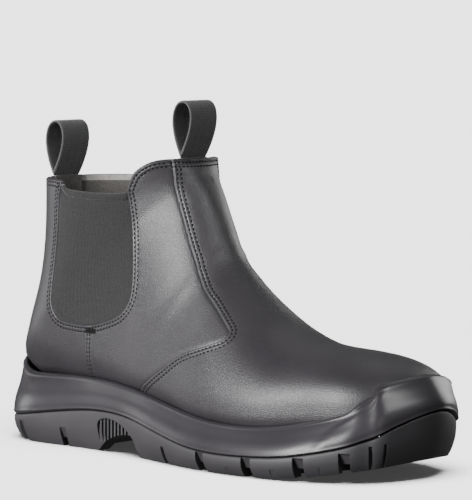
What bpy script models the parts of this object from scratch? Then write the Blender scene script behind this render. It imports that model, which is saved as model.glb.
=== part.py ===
"""Side gore work boot for the right foot, standing empty on its sole.

Metres. +X runs from heel to toe, +Y to the inner side of the foot, +Z up.
The origin is the middle of the heel tread, on the floor.
"""
import math

import bmesh
import bpy
import numpy as np
from mathutils import Vector
from mathutils.bvhtree import BVHTree

# The last, measured over the leather of the vamp
LAST_LENGTH = 0.288
LAST_BACK = -0.032
BALL_WIDTH = 0.094
SEAT_HEIGHT = 0.034
INSTEP_HEIGHT = 0.119
COLLAR_BACK_HEIGHT = 0.1532
COLLAR_FRONT_HEIGHT = 0.167
TOE_TIP_HEIGHT = 0.042
TOE_TURN = 0.009
TOE_ROUND_PLAN = 2.35
TOE_ROUND_SIDE = 2.05

# The upper's leather, and the clearance that pieces in contact keep
WALL = 0.0018
VAMP_STEP = 0.0012
FRONT_STEP = 0.0005
STRIP_STEP = 0.0009
STRIP_WIDTH = 0.024
GAP = 0.0003
INSOLE_THICKNESS = 0.0045
GORE_RECESS = 0.0004

# The sole
SOLE_LENGTH = 0.301
SOLE_BACK = -0.040
SOLE_WIDTH = 0.107
TOE_SPRING = 0.0115
CUP_HEIGHT = 0.040
LIP = 0.0016
BUMPER_STEP = 0.0009
TREAD_INSET = 0.0045
TREAD_DEPTH = 0.005
LUG_REACH = 0.013
EDGE_ROUND = 0.0012
EDGE_INSET = 0.0007
RIB_PITCH = 0.0027
RIB_WIDTH = 0.0012
RIB_STEP = 0.0016
WAIST_RECESS = 0.0035

# The pull loops
STRAP_WIDTH = 0.022
STRAP_THICKNESS = 0.0014
LOOP_HEIGHT = 0.0325
LOOP_DEPTH = 0.0147
LOOP_LEAN = 0.0018
LOOP_TAIL = 0.014

# How finely the round forms are cut into faces
AROUND = 24
TOE_RINGS = 6
BODY_RINGS = 22
OUTLINE_POINTS = 72
LOOP_POINTS = 20

# Far enough to leave the boot on any side
BEYOND = 0.4

# One row a section, from the toe back to the heel and up to the collar.
# A section lies in a plane from its under point to its over point.
# Along: share of the last's length. Under: 0 to 1 up to the seat, 1 to 2 on to the back collar.
# Over: 0 to 1 up to the instep, 1 to 2 on to the front collar.
# Outer, inner and shift: shares of the ball width. Widest: where it is widest, share of its height.
# under_along, under, over_along, over, outer, inner, widest, over_round, under_round, shift
LAST_SECTIONS = np.array([
    (0.823, 0.618, 0.826, 0.557, 0.457, 0.452, 0.42, 2.30, 3.6, 0.048),
    (0.743, 0.574, 0.750, 0.578, 0.511, 0.479, 0.36, 2.05, 3.6, 0.027),
    (0.667, 0.574, 0.684, 0.650, 0.527, 0.473, 0.30, 1.90, 3.6, 0.011),
    (0.569, 0.647, 0.625, 0.758, 0.511, 0.436, 0.25, 1.85, 3.4, 0.0),
    (0.465, 0.765, 0.571, 0.875, 0.463, 0.399, 0.25, 1.85, 3.2, 0.0),
    (0.361, 0.868, 0.531, 1.000, 0.420, 0.378, 0.26, 1.90, 3.0, 0.0),
    (0.257, 0.941, 0.510, 1.250, 0.388, 0.367, 0.29, 2.05, 3.0, 0.0),
    (0.153, 0.971, 0.491, 1.480, 0.362, 0.356, 0.32, 2.30, 2.9, 0.0),
    (0.048, 1.000, 0.479, 1.625, 0.351, 0.346, 0.36, 2.50, 2.6, 0.0),
    (-0.014, 1.085, 0.468, 1.729, 0.351, 0.346, 0.40, 2.60, 2.2, 0.0),
    (-0.009, 1.221, 0.459, 1.802, 0.356, 0.351, 0.44, 2.65, 2.05, 0.0),
    (0.024, 1.460, 0.453, 1.875, 0.367, 0.364, 0.46, 2.65, 2.0, 0.0),
    (0.045, 1.698, 0.447, 1.938, 0.388, 0.388, 0.48, 2.65, 2.05, 0.0),
    (0.056, 1.987, 0.442, 2.000, 0.410, 0.410, 0.50, 2.65, 2.15, 0.0),
    (0.063, 2.157, 0.437, 2.400, 0.425, 0.425, 0.50, 2.65, 2.15, 0.0),
])

# One row a point, from the back of the heel along the outer side to the toe and back.
# Along: share of the sole's length. Across: share of its width. Tread: share of the toe spring.
# Parting: the outsole's top edge. Rim: the midsole's top edge, both shares of the cup's height.
# along, across, tread, parting, rim
SOLE_OUTLINE = np.array([
    (0.000, 0.000, 0.18, 0.300, 1.240),
    (0.028, -0.212, 0.09, 0.340, 1.000),
    (0.106, -0.341, 0.00, 0.400, 0.985),
    (0.249, -0.350, 0.00, 0.575, 1.030),
    (0.372, -0.385, 0.00, 0.585, 0.985),
    (0.482, -0.455, 0.00, 0.430, 0.830),
    (0.591, -0.515, 0.00, 0.285, 0.690),
    (0.704, -0.530, 0.00, 0.280, 0.650),
    (0.814, -0.495, 0.16, 0.335, 0.740),
    (0.907, -0.393, 0.50, 0.500, 0.925),
    (0.943, -0.313, 0.66, 0.600, 1.120),
    (0.970, -0.224, 0.80, 0.700, 1.310),
    (1.000, 0.075, 1.00, 1.005, 1.415),
    (0.966, 0.331, 0.80, 0.700, 1.310),
    (0.930, 0.392, 0.66, 0.600, 1.120),
    (0.886, 0.438, 0.50, 0.490, 0.925),
    (0.797, 0.470, 0.16, 0.335, 0.740),
    (0.681, 0.460, 0.00, 0.280, 0.650),
    (0.565, 0.405, 0.00, 0.300, 0.720),
    (0.458, 0.346, 0.00, 0.445, 0.850),
    (0.349, 0.327, 0.00, 0.590, 0.995),
    (0.239, 0.341, 0.00, 0.565, 1.030),
    (0.106, 0.336, 0.00, 0.400, 0.985),
    (0.024, 0.224, 0.09, 0.340, 1.000),
])

# The midsole's side from above its lower edge to the rim, and where the toe bumper stands proud.
# rise, inset (shares of the side's own), bulge (share of the lip), bumper (share of its step)
MIDSOLE_SIDE = (
    (0.06, 0.00, 0.10, 0.9),
    (0.22, 0.04, 0.25, 1.0),
    (0.42, 0.16, 0.10, 1.0),
    (0.62, 0.36, -0.20, 1.0),
    (0.80, 0.60, -0.10, 0.9),
    (0.92, 0.82, 0.15, 0.6),
    (1.00, 1.00, 0.00, 0.3),
)

# The outsole's side from the parting line down. fall and inset: shares of its height and inset.
OUTSOLE_SIDE = ((0.16, 0.0), (0.45, 0.14), (0.78, 0.55), (1.0, 1.0))

# Outlines seen from the side. along: share of the last's length. height: share of the collar front's.
VAMP_EDGE = (
    (0.425, 1.060), (0.433, 0.965), (0.438, 0.898), (0.460, 0.799), (0.486, 0.701),
    (0.524, 0.589), (0.564, 0.528), (0.599, 0.477), (0.617, 0.448), (0.611, 0.423),
    (0.579, 0.401), (0.521, 0.364), (0.470, 0.307), (0.435, 0.268), (0.408, 0.233),
    (0.385, 0.180),
)
GORE_WINDOW = (
    (0.188, 1.060), (0.183, 0.925), (0.164, 0.848), (0.155, 0.743), (0.141, 0.620),
    (0.135, 0.533), (0.136, 0.481), (0.152, 0.441), (0.184, 0.427), (0.243, 0.426),
    (0.293, 0.445), (0.335, 0.475), (0.356, 0.524), (0.359, 0.591), (0.352, 0.725),
    (0.350, 0.860), (0.349, 0.930), (0.348, 1.060),
)
COLLAR_LINE = (
    (-0.10, 0.918), (0.12, 0.918), (0.158, 0.917), (0.176, 0.908), (0.194, 0.886),
    (0.28, 0.877), (0.338, 0.878), (0.350, 0.892), (0.366, 0.942), (0.385, 0.971),
    (0.406, 0.991), (0.430, 1.000), (0.460, 1.000), (0.60, 1.000),
)
SIDE_SEAM = 0.237
STRIP_FOOT = 0.263

# The opening underneath. along: share of the last's length. outer, inner: shares of the ball width.
BOTTOM_OPENING = (
    (0.076, 0.13, 0.13),
    (0.104, 0.21, 0.20),
    (0.180, 0.25, 0.24),
    (0.320, 0.26, 0.24),
    (0.458, 0.30, 0.26),
    (0.580, 0.37, 0.31),
    (0.684, 0.39, 0.36),
    (0.788, 0.35, 0.37),
    (0.875, 0.25, 0.33),
    (0.927, 0.12, 0.25),
)
OPENING_TOP = 0.010

# The bumper's back edge and the arched waist, seen from the side. Shares of sole length, cup height.
BUMPER_EDGE = ((0.850, 0.30), (0.884, 0.72), (0.921, 0.93), (0.944, 1.10), (0.952, 1.80))
WAIST_ARCH = (
    (0.270, -0.10), (0.292, 0.00), (0.315, 0.13), (0.330, 0.20), (0.358, 0.27),
    (0.386, 0.29), (0.404, 0.24), (0.415, 0.09), (0.427, 0.00), (0.440, -0.10),
)
WAIST_HOLLOW = (
    (0.305, 0.15), (0.303, 0.40), (0.315, 0.48), (0.335, 0.50), (0.360, 0.47),
    (0.388, 0.38), (0.407, 0.26), (0.412, 0.15),
)

# Grooves from the side into the tread, on both sides.
# along: share of sole length. width, height and reach in metres, height above the tread.
SIDE_GROOVES = (
    (0.083, 0.0055, 0.0115, 0.016),
    (0.149, 0.0022, 0.0045, 0.004),
    (0.213, 0.0045, 0.0110, 0.016),
    (0.445, 0.0022, 0.0050, 0.004),
    (0.502, 0.0030, 0.0100, 0.016),
    (0.545, 0.0026, 0.0045, 0.004),
    (0.611, 0.0060, 0.0110, 0.016),
    (0.678, 0.0030, 0.0045, 0.004),
    (0.732, 0.0062, 0.0110, 0.016),
    (0.787, 0.0030, 0.0050, 0.004),
    (0.832, 0.0062, 0.0110, 0.016),
    (0.877, 0.0030, 0.0050, 0.004),
    (0.912, 0.0062, 0.0110, 0.016),
    (0.948, 0.0020, 0.0130, 0.005),
    (0.967, 0.0020, 0.0130, 0.005),
)

# Lugs inside the ring of side lugs. along, across: shares of sole length and width.
# length and width in metres, skew: how far its sides lean along the sole.
TREAD_LUGS = (
    (0.133, 0.000, 0.024, 0.026, 0.0),
    (0.530, -0.12, 0.013, 0.018, 0.006),
    (0.530, 0.110, 0.013, 0.018, -0.006),
    (0.612, -0.15, 0.013, 0.022, 0.007),
    (0.612, 0.135, 0.013, 0.022, -0.007),
    (0.694, -0.17, 0.013, 0.024, 0.007),
    (0.694, 0.155, 0.013, 0.024, -0.007),
    (0.776, -0.15, 0.013, 0.022, 0.007),
    (0.776, 0.155, 0.013, 0.022, -0.007),
    (0.858, 0.010, 0.012, 0.034, 0.0),
)

MATERIALS = {
    "leather": ((0.022, 0.021, 0.023), 0.42, 0.0),
    "elastic": ((0.030, 0.030, 0.031), 0.85, 0.0),
    "webbing": ((0.018, 0.018, 0.019), 0.80, 0.0),
    "midsole": ((0.040, 0.038, 0.042), 0.50, 0.0),
    "rubber": ((0.032, 0.031, 0.034), 0.62, 0.0),
    "insole": ((0.050, 0.049, 0.048), 0.90, 0.0),
}

BACK_LEVEL = -(VAMP_STEP + FRONT_STEP)
FRONT_LEVEL = -VAMP_STEP
INSIDE_LEVEL = BACK_LEVEL - WALL


def clear_scene():
    for thing in list(bpy.data.objects):
        bpy.data.objects.remove(thing)


def through(rows, place):
    """A point on the Catmull-Rom curve through the rows, with place counted in rows."""
    last = len(rows) - 1
    i = min(int(place), last - 1)
    f = place - i
    here, there = rows[i], rows[i + 1]
    before = rows[i - 1] if i > 0 else 2 * here - there
    after = rows[i + 2] if i + 2 <= last else 2 * there - here
    slope = there - before
    bend = 2 * before - 5 * here + 4 * there - after
    turn = 3 * here - before - 3 * there + after
    return here + 0.5 * f * (slope + f * (bend + f * turn))


def smooth(rows, steps):
    rows = np.array(rows)
    count = (len(rows) - 1) * steps
    return np.array([through(rows, k / steps) for k in range(count + 1)])


def closed_outline(rows, count):
    looped = np.concatenate([rows[-2:], rows, rows[:3]])
    return np.array([through(looped, 2 + len(rows) * k / count) for k in range(count)])


def last_along(share):
    return LAST_BACK + share * LAST_LENGTH


def sole_along(share):
    return SOLE_BACK + share * SOLE_LENGTH


def height_of(share, first, second):
    """Height of a share that runs 0 to 1 up to the first height and 1 to 2 on to the second."""
    if share <= 1:
        return share * first
    return first + (share - 1) * (second - first)


def section_sizes(row):
    """One section's row in metres, with its two rounding powers."""
    under_along, under, over_along, over, outer, inner, widest, over_round, under_round, shift = row
    return np.array([
        last_along(under_along),
        height_of(under, SEAT_HEIGHT, COLLAR_BACK_HEIGHT),
        last_along(over_along),
        height_of(over, INSTEP_HEIGHT, COLLAR_FRONT_HEIGHT),
        outer * BALL_WIDTH,
        inner * BALL_WIDTH,
        widest,
        over_round,
        under_round,
        shift * BALL_WIDTH,
    ])


def toe_section(first, turn):
    """A section of the toe's dome, at a turn from the tip (0) to the first full section (1)."""
    x0, under, _, over, outer, inner, widest, over_round, under_round, shift = first
    angle = turn * math.pi / 2
    forward = math.cos(angle) ** (2 / TOE_ROUND_PLAN)
    wide = math.sin(angle) ** (2 / TOE_ROUND_PLAN)
    tall = (1 - forward ** TOE_ROUND_SIDE) ** (1 / TOE_ROUND_SIDE)
    x = x0 + (last_along(1.0) - x0) * forward
    low = TOE_TIP_HEIGHT - (TOE_TIP_HEIGHT - under) * tall
    high = TOE_TIP_HEIGHT + (over - TOE_TIP_HEIGHT) * tall
    middle = under + (over - under) * widest
    middle += (TOE_TIP_HEIGHT - middle) * (1 - tall)
    return np.array([
        x, low, x, high, outer * wide, inner * wide,
        (middle - low) / (high - low),
        2.1 + (over_round - 2.1) * tall,
        2.3 + (under_round - 2.3) * tall,
        shift + (TOE_TURN - shift) * forward ** 1.5,
    ])


def section_ring(section, around):
    """Points round one section, from its top down the outer side."""
    x0, z0, x1, z1, outer, inner, widest, over_round, under_round, shift = section
    ring = []
    for k in range(around):
        angle = 2 * math.pi * k / around
        up, out = math.cos(angle), -math.sin(angle)
        power = 2 / (over_round if up >= 0 else under_round)
        side = math.copysign(abs(out) ** power, out)
        rise = math.copysign(abs(up) ** power, up)
        y = side * (outer if side < 0 else inner) + shift
        share = widest + rise * (1 - widest if rise > 0 else widest)
        ring.append((x0 + (x1 - x0) * share, y, z0 + (z1 - z0) * share))
    return ring


def last_rings():
    """The last's rings from the toe to past the collar, with the toe's tip apart."""
    first = section_sizes(LAST_SECTIONS[0])
    sections = [toe_section(first, k / TOE_RINGS) for k in range(1, TOE_RINGS)]
    span = len(LAST_SECTIONS) - 1
    for k in range(BODY_RINGS + 1):
        sections.append(section_sizes(through(LAST_SECTIONS, span * k / BODY_RINGS)))
    rings = np.array([section_ring(section, AROUND) for section in sections])
    tip = np.array([last_along(1.0), TOE_TURN, TOE_TIP_HEIGHT])
    return tip, rings


def ring_normals(rings):
    """Outward normals at the points of a grid of rings."""
    along = np.gradient(rings, axis=0)
    ahead, behind = np.roll(rings, -1, axis=1), np.roll(rings, 1, axis=1)
    normals = np.cross(along, ahead - behind)
    return normals / np.linalg.norm(normals, axis=2, keepdims=True)


def loft_faces(count, around, caps):
    """Faces of a row of rings. With caps, two more points close its ends."""
    faces = []
    for i in range(count - 1):
        for j in range(around):
            k = (j + 1) % around
            faces.append((i * around + j, (i + 1) * around + j, (i + 1) * around + k, i * around + k))
    if caps:
        first, last = count * around, count * around + 1
        end = (count - 1) * around
        for j in range(around):
            k = (j + 1) % around
            faces.append((first, j, k))
            faces.append((last, end + k, end + j))
    return faces


def make_object(name, points, faces):
    mesh = bpy.data.meshes.new(name)
    mesh.from_pydata([tuple(point) for point in points], [], faces)
    work = bmesh.new()
    work.from_mesh(mesh)
    bmesh.ops.recalc_face_normals(work, faces=work.faces)
    # A warped face cut twice leaves holes, and a triangle doesn't.
    bmesh.ops.triangulate(work, faces=work.faces)
    work.to_mesh(mesh)
    work.free()
    made = bpy.data.objects.new(name, mesh)
    bpy.context.scene.collection.objects.link(made)
    return made


def last_form(name, level):
    """A closed solid of the last, this far outside the vamp's leather."""
    tip, rings = last_rings()
    grown = rings + ring_normals(rings) * level
    tip = tip + np.array([level, 0.0, 0.0])
    points = np.concatenate([grown.reshape(-1, 3), [tip], [grown[-1].mean(axis=0)]])
    return make_object(name, points, loft_faces(len(rings), AROUND, True))


def boolean(target, other, operation, solver="EXACT"):
    """Changes the target's mesh by the other solid, which is then gone."""
    modifier = target.modifiers.new(operation.lower(), "BOOLEAN")
    modifier.operation = operation
    modifier.solver = solver
    modifier.object = other
    graph = bpy.context.evaluated_depsgraph_get()
    mesh = bpy.data.meshes.new_from_object(target.evaluated_get(graph))
    target.modifiers.clear()
    target.data = mesh
    bpy.data.objects.remove(other)
    return target


def grown_outline(points, distance):
    """A closed flat outline moved outwards by a distance. Its points run counter-clockwise."""
    points = np.array(points)
    step = np.roll(points, -1, axis=0) - np.roll(points, 1, axis=0)
    normal = np.stack([step[:, 1], -step[:, 0]], axis=1)
    length = np.linalg.norm(normal, axis=1, keepdims=True)
    return points + normal / length * distance


def prism(name, outline, low, high, axis="Y"):
    """A solid with a flat outline, from low to high along Y or Z."""
    count = len(outline)
    points = []
    for depth in (low, high):
        for a, b in outline:
            points.append((a, depth, b) if axis == "Y" else (a, b, depth))
    faces = [(k, (k + 1) % count, count + (k + 1) % count, count + k) for k in range(count)]
    faces.append(tuple(range(count)))
    faces.append(tuple(range(2 * count - 1, count - 1, -1)))
    return make_object(name, points, faces)


def block(name, low, high):
    """A box between its lowest and highest corners."""
    outline = [(low[0], low[2]), (high[0], low[2]), (high[0], high[2]), (low[0], high[2])]
    return prism(name, outline, low[1], high[1])


def side_line(rows, steps=2):
    """A table of side view points in metres, smoothed."""
    line = smooth(rows, steps)
    return np.stack([last_along(line[:, 0]), line[:, 1] * COLLAR_FRONT_HEIGHT], axis=1)


def sole_line(rows, steps=1):
    line = smooth(rows, steps)
    return np.stack([sole_along(line[:, 0]), line[:, 1] * CUP_HEIGHT], axis=1)


def above_collar():
    line = side_line(COLLAR_LINE)
    ends = [(BEYOND, line[-1][1]), (BEYOND, BEYOND), (-BEYOND, BEYOND), (-BEYOND, line[0][1])]
    return prism("above_collar", list(line) + ends, -BEYOND, BEYOND)


def vamp_outline(grow):
    line = side_line(VAMP_EDGE)
    ends = [(line[-1][0], -BEYOND), (BEYOND, -BEYOND), (BEYOND, BEYOND), (line[0][0], BEYOND)]
    return grown_outline(list(line) + ends, grow)


def window_outline(grow):
    return grown_outline(side_line(GORE_WINDOW), grow)


def dressed_last(name, grow):
    """The upper's closed outer shape with every layer on it, grown all round."""
    body = last_form(name, BACK_LEVEL + grow)
    front = last_form("front_quarter", FRONT_LEVEL + grow)
    seam = last_along(SIDE_SEAM) - grow
    boolean(front, block("front_part", (seam, -BEYOND, -BEYOND), (BEYOND, BEYOND, BEYOND)), "INTERSECT")
    boolean(body, front, "UNION")
    vamp = last_form("vamp", grow)
    boolean(vamp, prism("vamp_part", vamp_outline(grow), -BEYOND, BEYOND), "INTERSECT")
    boolean(body, vamp, "UNION")
    strip = last_form("strip", BACK_LEVEL + STRIP_STEP + grow)
    half = STRIP_WIDTH / 2 + grow
    foot = STRIP_FOOT * COLLAR_FRONT_HEIGHT - grow
    boolean(strip, block("strip_part", (-BEYOND, -half, foot), (0.0, half, BEYOND)), "INTERSECT")
    return boolean(body, strip, "UNION")


def under_height(x):
    """Height of the last's underside at a place along it."""
    tip, rings = last_rings()
    line = rings[: TOE_RINGS + BODY_RINGS // 2, AROUND // 2]
    order = np.argsort(line[:, 0])
    return float(np.interp(x, line[order, 0], line[order, 2]))


def bottom_opening():
    """A cutter through the turned-under leather, so that only a margin stays."""
    rings = []
    for along, outer, inner in smooth(BOTTOM_OPENING, 2):
        x = last_along(along)
        top = under_height(x) + OPENING_TOP
        low, high = -outer * BALL_WIDTH, inner * BALL_WIDTH
        rings.append([(x, low, top), (x, low, -SEAT_HEIGHT), (x, high, -SEAT_HEIGHT), (x, high, top)])
    rings = np.array(rings)
    ends = [rings[0].mean(axis=0), rings[-1].mean(axis=0)]
    points = np.concatenate([rings.reshape(-1, 3), ends])
    return make_object("bottom_opening", points, loft_faces(len(rings), 4, True))


def make_upper():
    upper = dressed_last("upper", 0.0)
    boolean(upper, last_form("inside", INSIDE_LEVEL), "DIFFERENCE")
    boolean(upper, above_collar(), "DIFFERENCE")
    window = prism("window", window_outline(0.0), -BEYOND, BEYOND)
    boolean(upper, window, "DIFFERENCE")
    boolean(upper, bottom_opening(), "DIFFERENCE")
    return finished(upper, "leather")


def make_gore(name, side):
    """The elastic panel that fills one side's window, just inside the leather's face."""
    gore = last_form(name, BACK_LEVEL - GORE_RECESS)
    low, high = sorted((0.0, side * BEYOND))
    boolean(gore, prism("window", window_outline(-GAP), low, high), "INTERSECT")
    boolean(gore, last_form("inside", INSIDE_LEVEL), "DIFFERENCE")
    boolean(gore, above_collar(), "DIFFERENCE")
    return finished(gore, "elastic")


def make_insole():
    insole = last_form("insole", INSIDE_LEVEL - GAP)
    rise = INSOLE_THICKNESS + GAP - INSIDE_LEVEL
    places = np.linspace(last_along(0.08), last_along(0.96), 14)
    top = [(x, under_height(x) + rise) for x in places]
    start, end = top[0][1], top[-1][1]
    ends = [(BEYOND, end), (BEYOND, -BEYOND), (-BEYOND, -BEYOND), (-BEYOND, start)]
    boolean(insole, prism("insole_part", top + ends, -BEYOND, BEYOND), "INTERSECT")
    return finished(insole, "insole")


def sole_edge():
    """The sole's outline: points, outward normals, and tread, parting and rim heights."""
    rows = closed_outline(SOLE_OUTLINE, OUTLINE_POINTS)
    points = np.stack([sole_along(rows[:, 0]), rows[:, 1] * SOLE_WIDTH], axis=1)
    step = np.roll(points, -1, axis=0) - np.roll(points, 1, axis=0)
    normals = np.stack([step[:, 1], -step[:, 0]], axis=1)
    normals /= np.linalg.norm(normals, axis=1, keepdims=True)
    tread = np.maximum(rows[:, 2], 0.0) * TOE_SPRING
    return points, normals, tread, rows[:, 3] * CUP_HEIGHT, rows[:, 4] * CUP_HEIGHT


def outline_solid(name, levels):
    """A solid from outline rings, its ends closed by strips from side to side."""
    rings = np.array(levels)
    count, around = rings.shape[:2]
    faces = loft_faces(count, around, False)
    for base in (0, (count - 1) * around):
        half = around // 2
        for k in range(1, half - 1):
            faces.append((base + k, base + k + 1, base + around - k - 1, base + around - k))
        faces.append((base, base + 1, base + around - 1))
        faces.append((base + half - 1, base + half, base + half + 1))
    return make_object(name, rings.reshape(-1, 3), faces)


def ring_at(points, normals, inset, heights):
    moved = points - normals * np.reshape(inset, (-1, 1))
    return np.column_stack([moved, heights])


def rim_insets(points, normals, rim):
    """How far inside the outline the rim stands, its lip's width off the leather."""
    tip, rings = last_rings()
    grid = np.concatenate([rings.reshape(-1, 3), [tip], [rings[-1].mean(axis=0)]])
    tree = BVHTree.FromPolygons([Vector(p) for p in grid], loft_faces(len(rings), AROUND, True))
    insets = []
    for (x, y), (nx, ny), z in zip(points, normals, rim):
        start = Vector((x + nx * SOLE_WIDTH, y + ny * SOLE_WIDTH, z))
        met = tree.ray_cast(start, Vector((-nx, -ny, 0.0)))[0]
        # A rim under the last stands off its nearest point instead.
        met = met or tree.find_nearest(start)[0]
        reach = (start.xy - met.xy).dot(Vector((nx, ny)))
        insets.append(reach - SOLE_WIDTH - LIP)
    return np.array(insets)


def midsole_side(name, bumper):
    """The midsole's outer form, or the same form with the bumper's step all round."""
    points, normals, _, parting, rim = sole_edge()
    insets = rim_insets(points, normals, rim)
    tuck = GAP / 3 if bumper else 0.0
    levels = [ring_at(points, normals, EDGE_INSET, parting + tuck)]
    for rise, share, bulge, proud in MIDSOLE_SIDE:
        heights = parting + tuck + (rim - parting - 2 * tuck) * rise
        out = bulge * LIP + proud * bumper
        levels.append(ring_at(points, normals, insets * share - out, heights))
    return outline_solid(name, levels)


def make_midsole():
    midsole = midsole_side("midsole", 0.0)
    bumper = midsole_side("bumper", BUMPER_STEP)
    edge = list(sole_line(BUMPER_EDGE, 2))
    outline = edge + [(BEYOND, edge[-1][1]), (BEYOND, edge[0][1])]
    boolean(bumper, prism("bumper_part", outline, -BEYOND, BEYOND), "INTERSECT")
    boolean(midsole, bumper, "UNION")
    boolean(midsole, dressed_last("upper_space", GAP), "DIFFERENCE")
    return finished(midsole, "midsole")


def edge_at(x, side):
    """The outline's point, outward normal and tread height at a place on one side."""
    points, normals, tread, _, _ = sole_edge()
    half = OUTLINE_POINTS // 2
    chosen = range(0, half + 1) if side < 0 else range(half, OUTLINE_POINTS)
    near = min(chosen, key=lambda k: abs(points[k][0] - x))
    return Vector(points[near]), Vector(normals[near]), float(tread[near])


def groove(x, side, width, height, reach):
    """A cutter from the side of the sole into its tread, tapering inwards."""
    point, normal, tread = edge_at(x, side)
    top = tread + height
    profile = (
        (-TREAD_INSET, -height), (-TREAD_INSET, top), (TREAD_INSET / 4, top),
        (min(reach, TREAD_INSET), tread + TREAD_DEPTH), (reach, tread + TREAD_DEPTH), (reach, -height),
    )
    if reach < TREAD_INSET * 2:
        profile = profile[:3] + ((reach, tread), (reach, -height))
    along = Vector((-normal.y, normal.x))
    points = []
    for shift in (-width / 2, width / 2):
        for inward, z in profile:
            place = point - normal * inward + along * shift
            points.append((place.x, place.y, z))
    count = len(profile)
    faces = [(k, (k + 1) % count, count + (k + 1) % count, count + k) for k in range(count)]
    faces += [tuple(range(count)), tuple(range(2 * count - 1, count - 1, -1))]
    return make_object("groove", points, faces)


def tread_recess(name, start, end):
    """The hollow inside the ring of side lugs, between two places along the sole."""
    points, normals, tread, _, _ = sole_edge()
    inset = points - normals * LUG_REACH
    levels = []
    for depth in (-TREAD_DEPTH * 2, TREAD_DEPTH):
        levels.append(np.column_stack([inset, tread + depth]))
    recess = outline_solid(name, levels)
    part = block("recess_part", (start, -BEYOND, -BEYOND), (end, BEYOND, BEYOND))
    boolean(recess, part, "INTERSECT")
    for along, across, length, width, skew in TREAD_LUGS:
        x, y = sole_along(along), across * SOLE_WIDTH
        if not start < x < end:
            continue
        front, side = length / 2, width / 2
        outline = [
            (x - front - skew / 2, y - side), (x + front - skew / 2, y - side),
            (x + front + skew / 2, y + side), (x - front + skew / 2, y + side),
        ]
        boolean(recess, prism("lug", outline, -BEYOND, BEYOND, "Z"), "DIFFERENCE")
    return recess


def waist_hollow(side):
    """The hollow in one side of the waist, with its standing ribs left out of the cutter."""
    line = sole_line(WAIST_HOLLOW, 2)
    middle = edge_at(line[:, 0].mean(), side)[0].y
    floor = middle - side * WAIST_RECESS
    low, high = sorted((floor, side * BEYOND))
    hollow = prism("hollow", line, low, high)
    rib_face = floor + side * RIB_STEP
    x = line[:, 0].min() + RIB_PITCH
    while x < line[:, 0].max() - RIB_PITCH / 2:
        low, high = sorted((floor - side * RIB_STEP, rib_face))
        rib = block("rib", (x - RIB_WIDTH / 2, low, -BEYOND), (x + RIB_WIDTH / 2, high, BEYOND))
        boolean(hollow, rib, "DIFFERENCE")
        x += RIB_PITCH
    return hollow


def make_outsole():
    points, normals, tread, parting, _ = sole_edge()
    top = parting - GAP
    levels = [
        ring_at(points, normals, EDGE_INSET, top),
        ring_at(points, normals, 0.0, top - EDGE_ROUND),
    ]
    for fall, share in OUTSOLE_SIDE:
        heights = top - EDGE_ROUND + (tread - top + EDGE_ROUND) * fall
        levels.append(ring_at(points, normals, share * TREAD_INSET, heights))
    outsole = outline_solid("outsole", levels)
    arch = sole_line(WAIST_ARCH, 2)
    boolean(outsole, prism("arch", arch, -BEYOND, BEYOND), "DIFFERENCE")
    breast, ball = sole_along(WAIST_ARCH[1][0]), sole_along(WAIST_ARCH[-2][0])
    boolean(outsole, tread_recess("heel_recess", -BEYOND, breast + TREAD_DEPTH), "DIFFERENCE")
    # The exact solver drops the whole solid on this one cut
    boolean(outsole, tread_recess("ball_recess", ball + LUG_REACH, BEYOND), "DIFFERENCE", "MANIFOLD")
    for side in (-1, 1):
        boolean(outsole, waist_hollow(side), "DIFFERENCE")
        for along, width, height, reach in SIDE_GROOVES:
            boolean(outsole, groove(sole_along(along), side, width, height, reach), "DIFFERENCE")
    return finished(outsole, "rubber")


def teardrop(height, depth, start):
    """A drop outline, pointed at the bottom: depth and height of each point."""
    drop = []
    widest = 0.77
    for k in range(LOOP_POINTS):
        angle = 2 * math.pi * k / LOOP_POINTS
        rise = (1 - math.cos(angle)) / 2
        across = math.sin(angle) * abs(math.sin(angle / 2)) / widest
        drop.append((across * depth / 2, start + rise * height))
    return drop


def make_loop(name, x, z, lean, facing):
    """A webbing loop standing on the collar, its two legs sewn inside the wall."""
    outer = teardrop(LOOP_HEIGHT, LOOP_DEPTH, 0.0)
    split = 2.5 * STRAP_THICKNESS
    inner = teardrop(
        LOOP_HEIGHT - STRAP_THICKNESS - split, LOOP_DEPTH - 2 * STRAP_THICKNESS, split)
    half = STRAP_WIDTH / 2
    points = []
    for outline in (outer, inner):
        for y in (-half, half):
            for across, rise in outline:
                points.append((x + across + lean * rise / LOOP_HEIGHT, y, z + rise))
    n = LOOP_POINTS
    faces = []
    for k in range(n):
        m = (k + 1) % n
        faces.append((k, m, n + m, n + k))
        faces.append((2 * n + k, 2 * n + m, 3 * n + m, 3 * n + k))
        faces.append((k, m, 2 * n + m, 2 * n + k))
        faces.append((n + k, n + m, 3 * n + m, 3 * n + k))
    loop = make_object(name, points, faces)
    tail = last_form("tail", INSIDE_LEVEL - GAP)
    inside = INSIDE_LEVEL - GAP - 2 * STRAP_THICKNESS
    boolean(tail, last_form("tail_inside", inside), "DIFFERENCE")
    low, high = sorted((x - facing * LOOP_DEPTH, x + facing * LOOP_DEPTH))
    part = block("tail_part", (low, -half, z - LOOP_TAIL), (high, half, z + split))
    boolean(tail, part, "INTERSECT")
    return finished(boolean(loop, tail, "UNION"), "webbing")


def collar_height(front):
    return COLLAR_LINE[-1 if front else 0][1] * COLLAR_FRONT_HEIGHT


def collar_inside(front):
    """Where the inside of the collar stands, at its front or its back."""
    tip, rings = last_rings()
    level = collar_height(front)
    line = rings[BODY_RINGS // 2 :, 0 if front else AROUND // 2]
    order = np.argsort(line[:, 2])
    x = float(np.interp(level, line[order, 2], line[order, 0]))
    depth = INSIDE_LEVEL - GAP - STRAP_THICKNESS
    return x + (depth if front else -depth)


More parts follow.
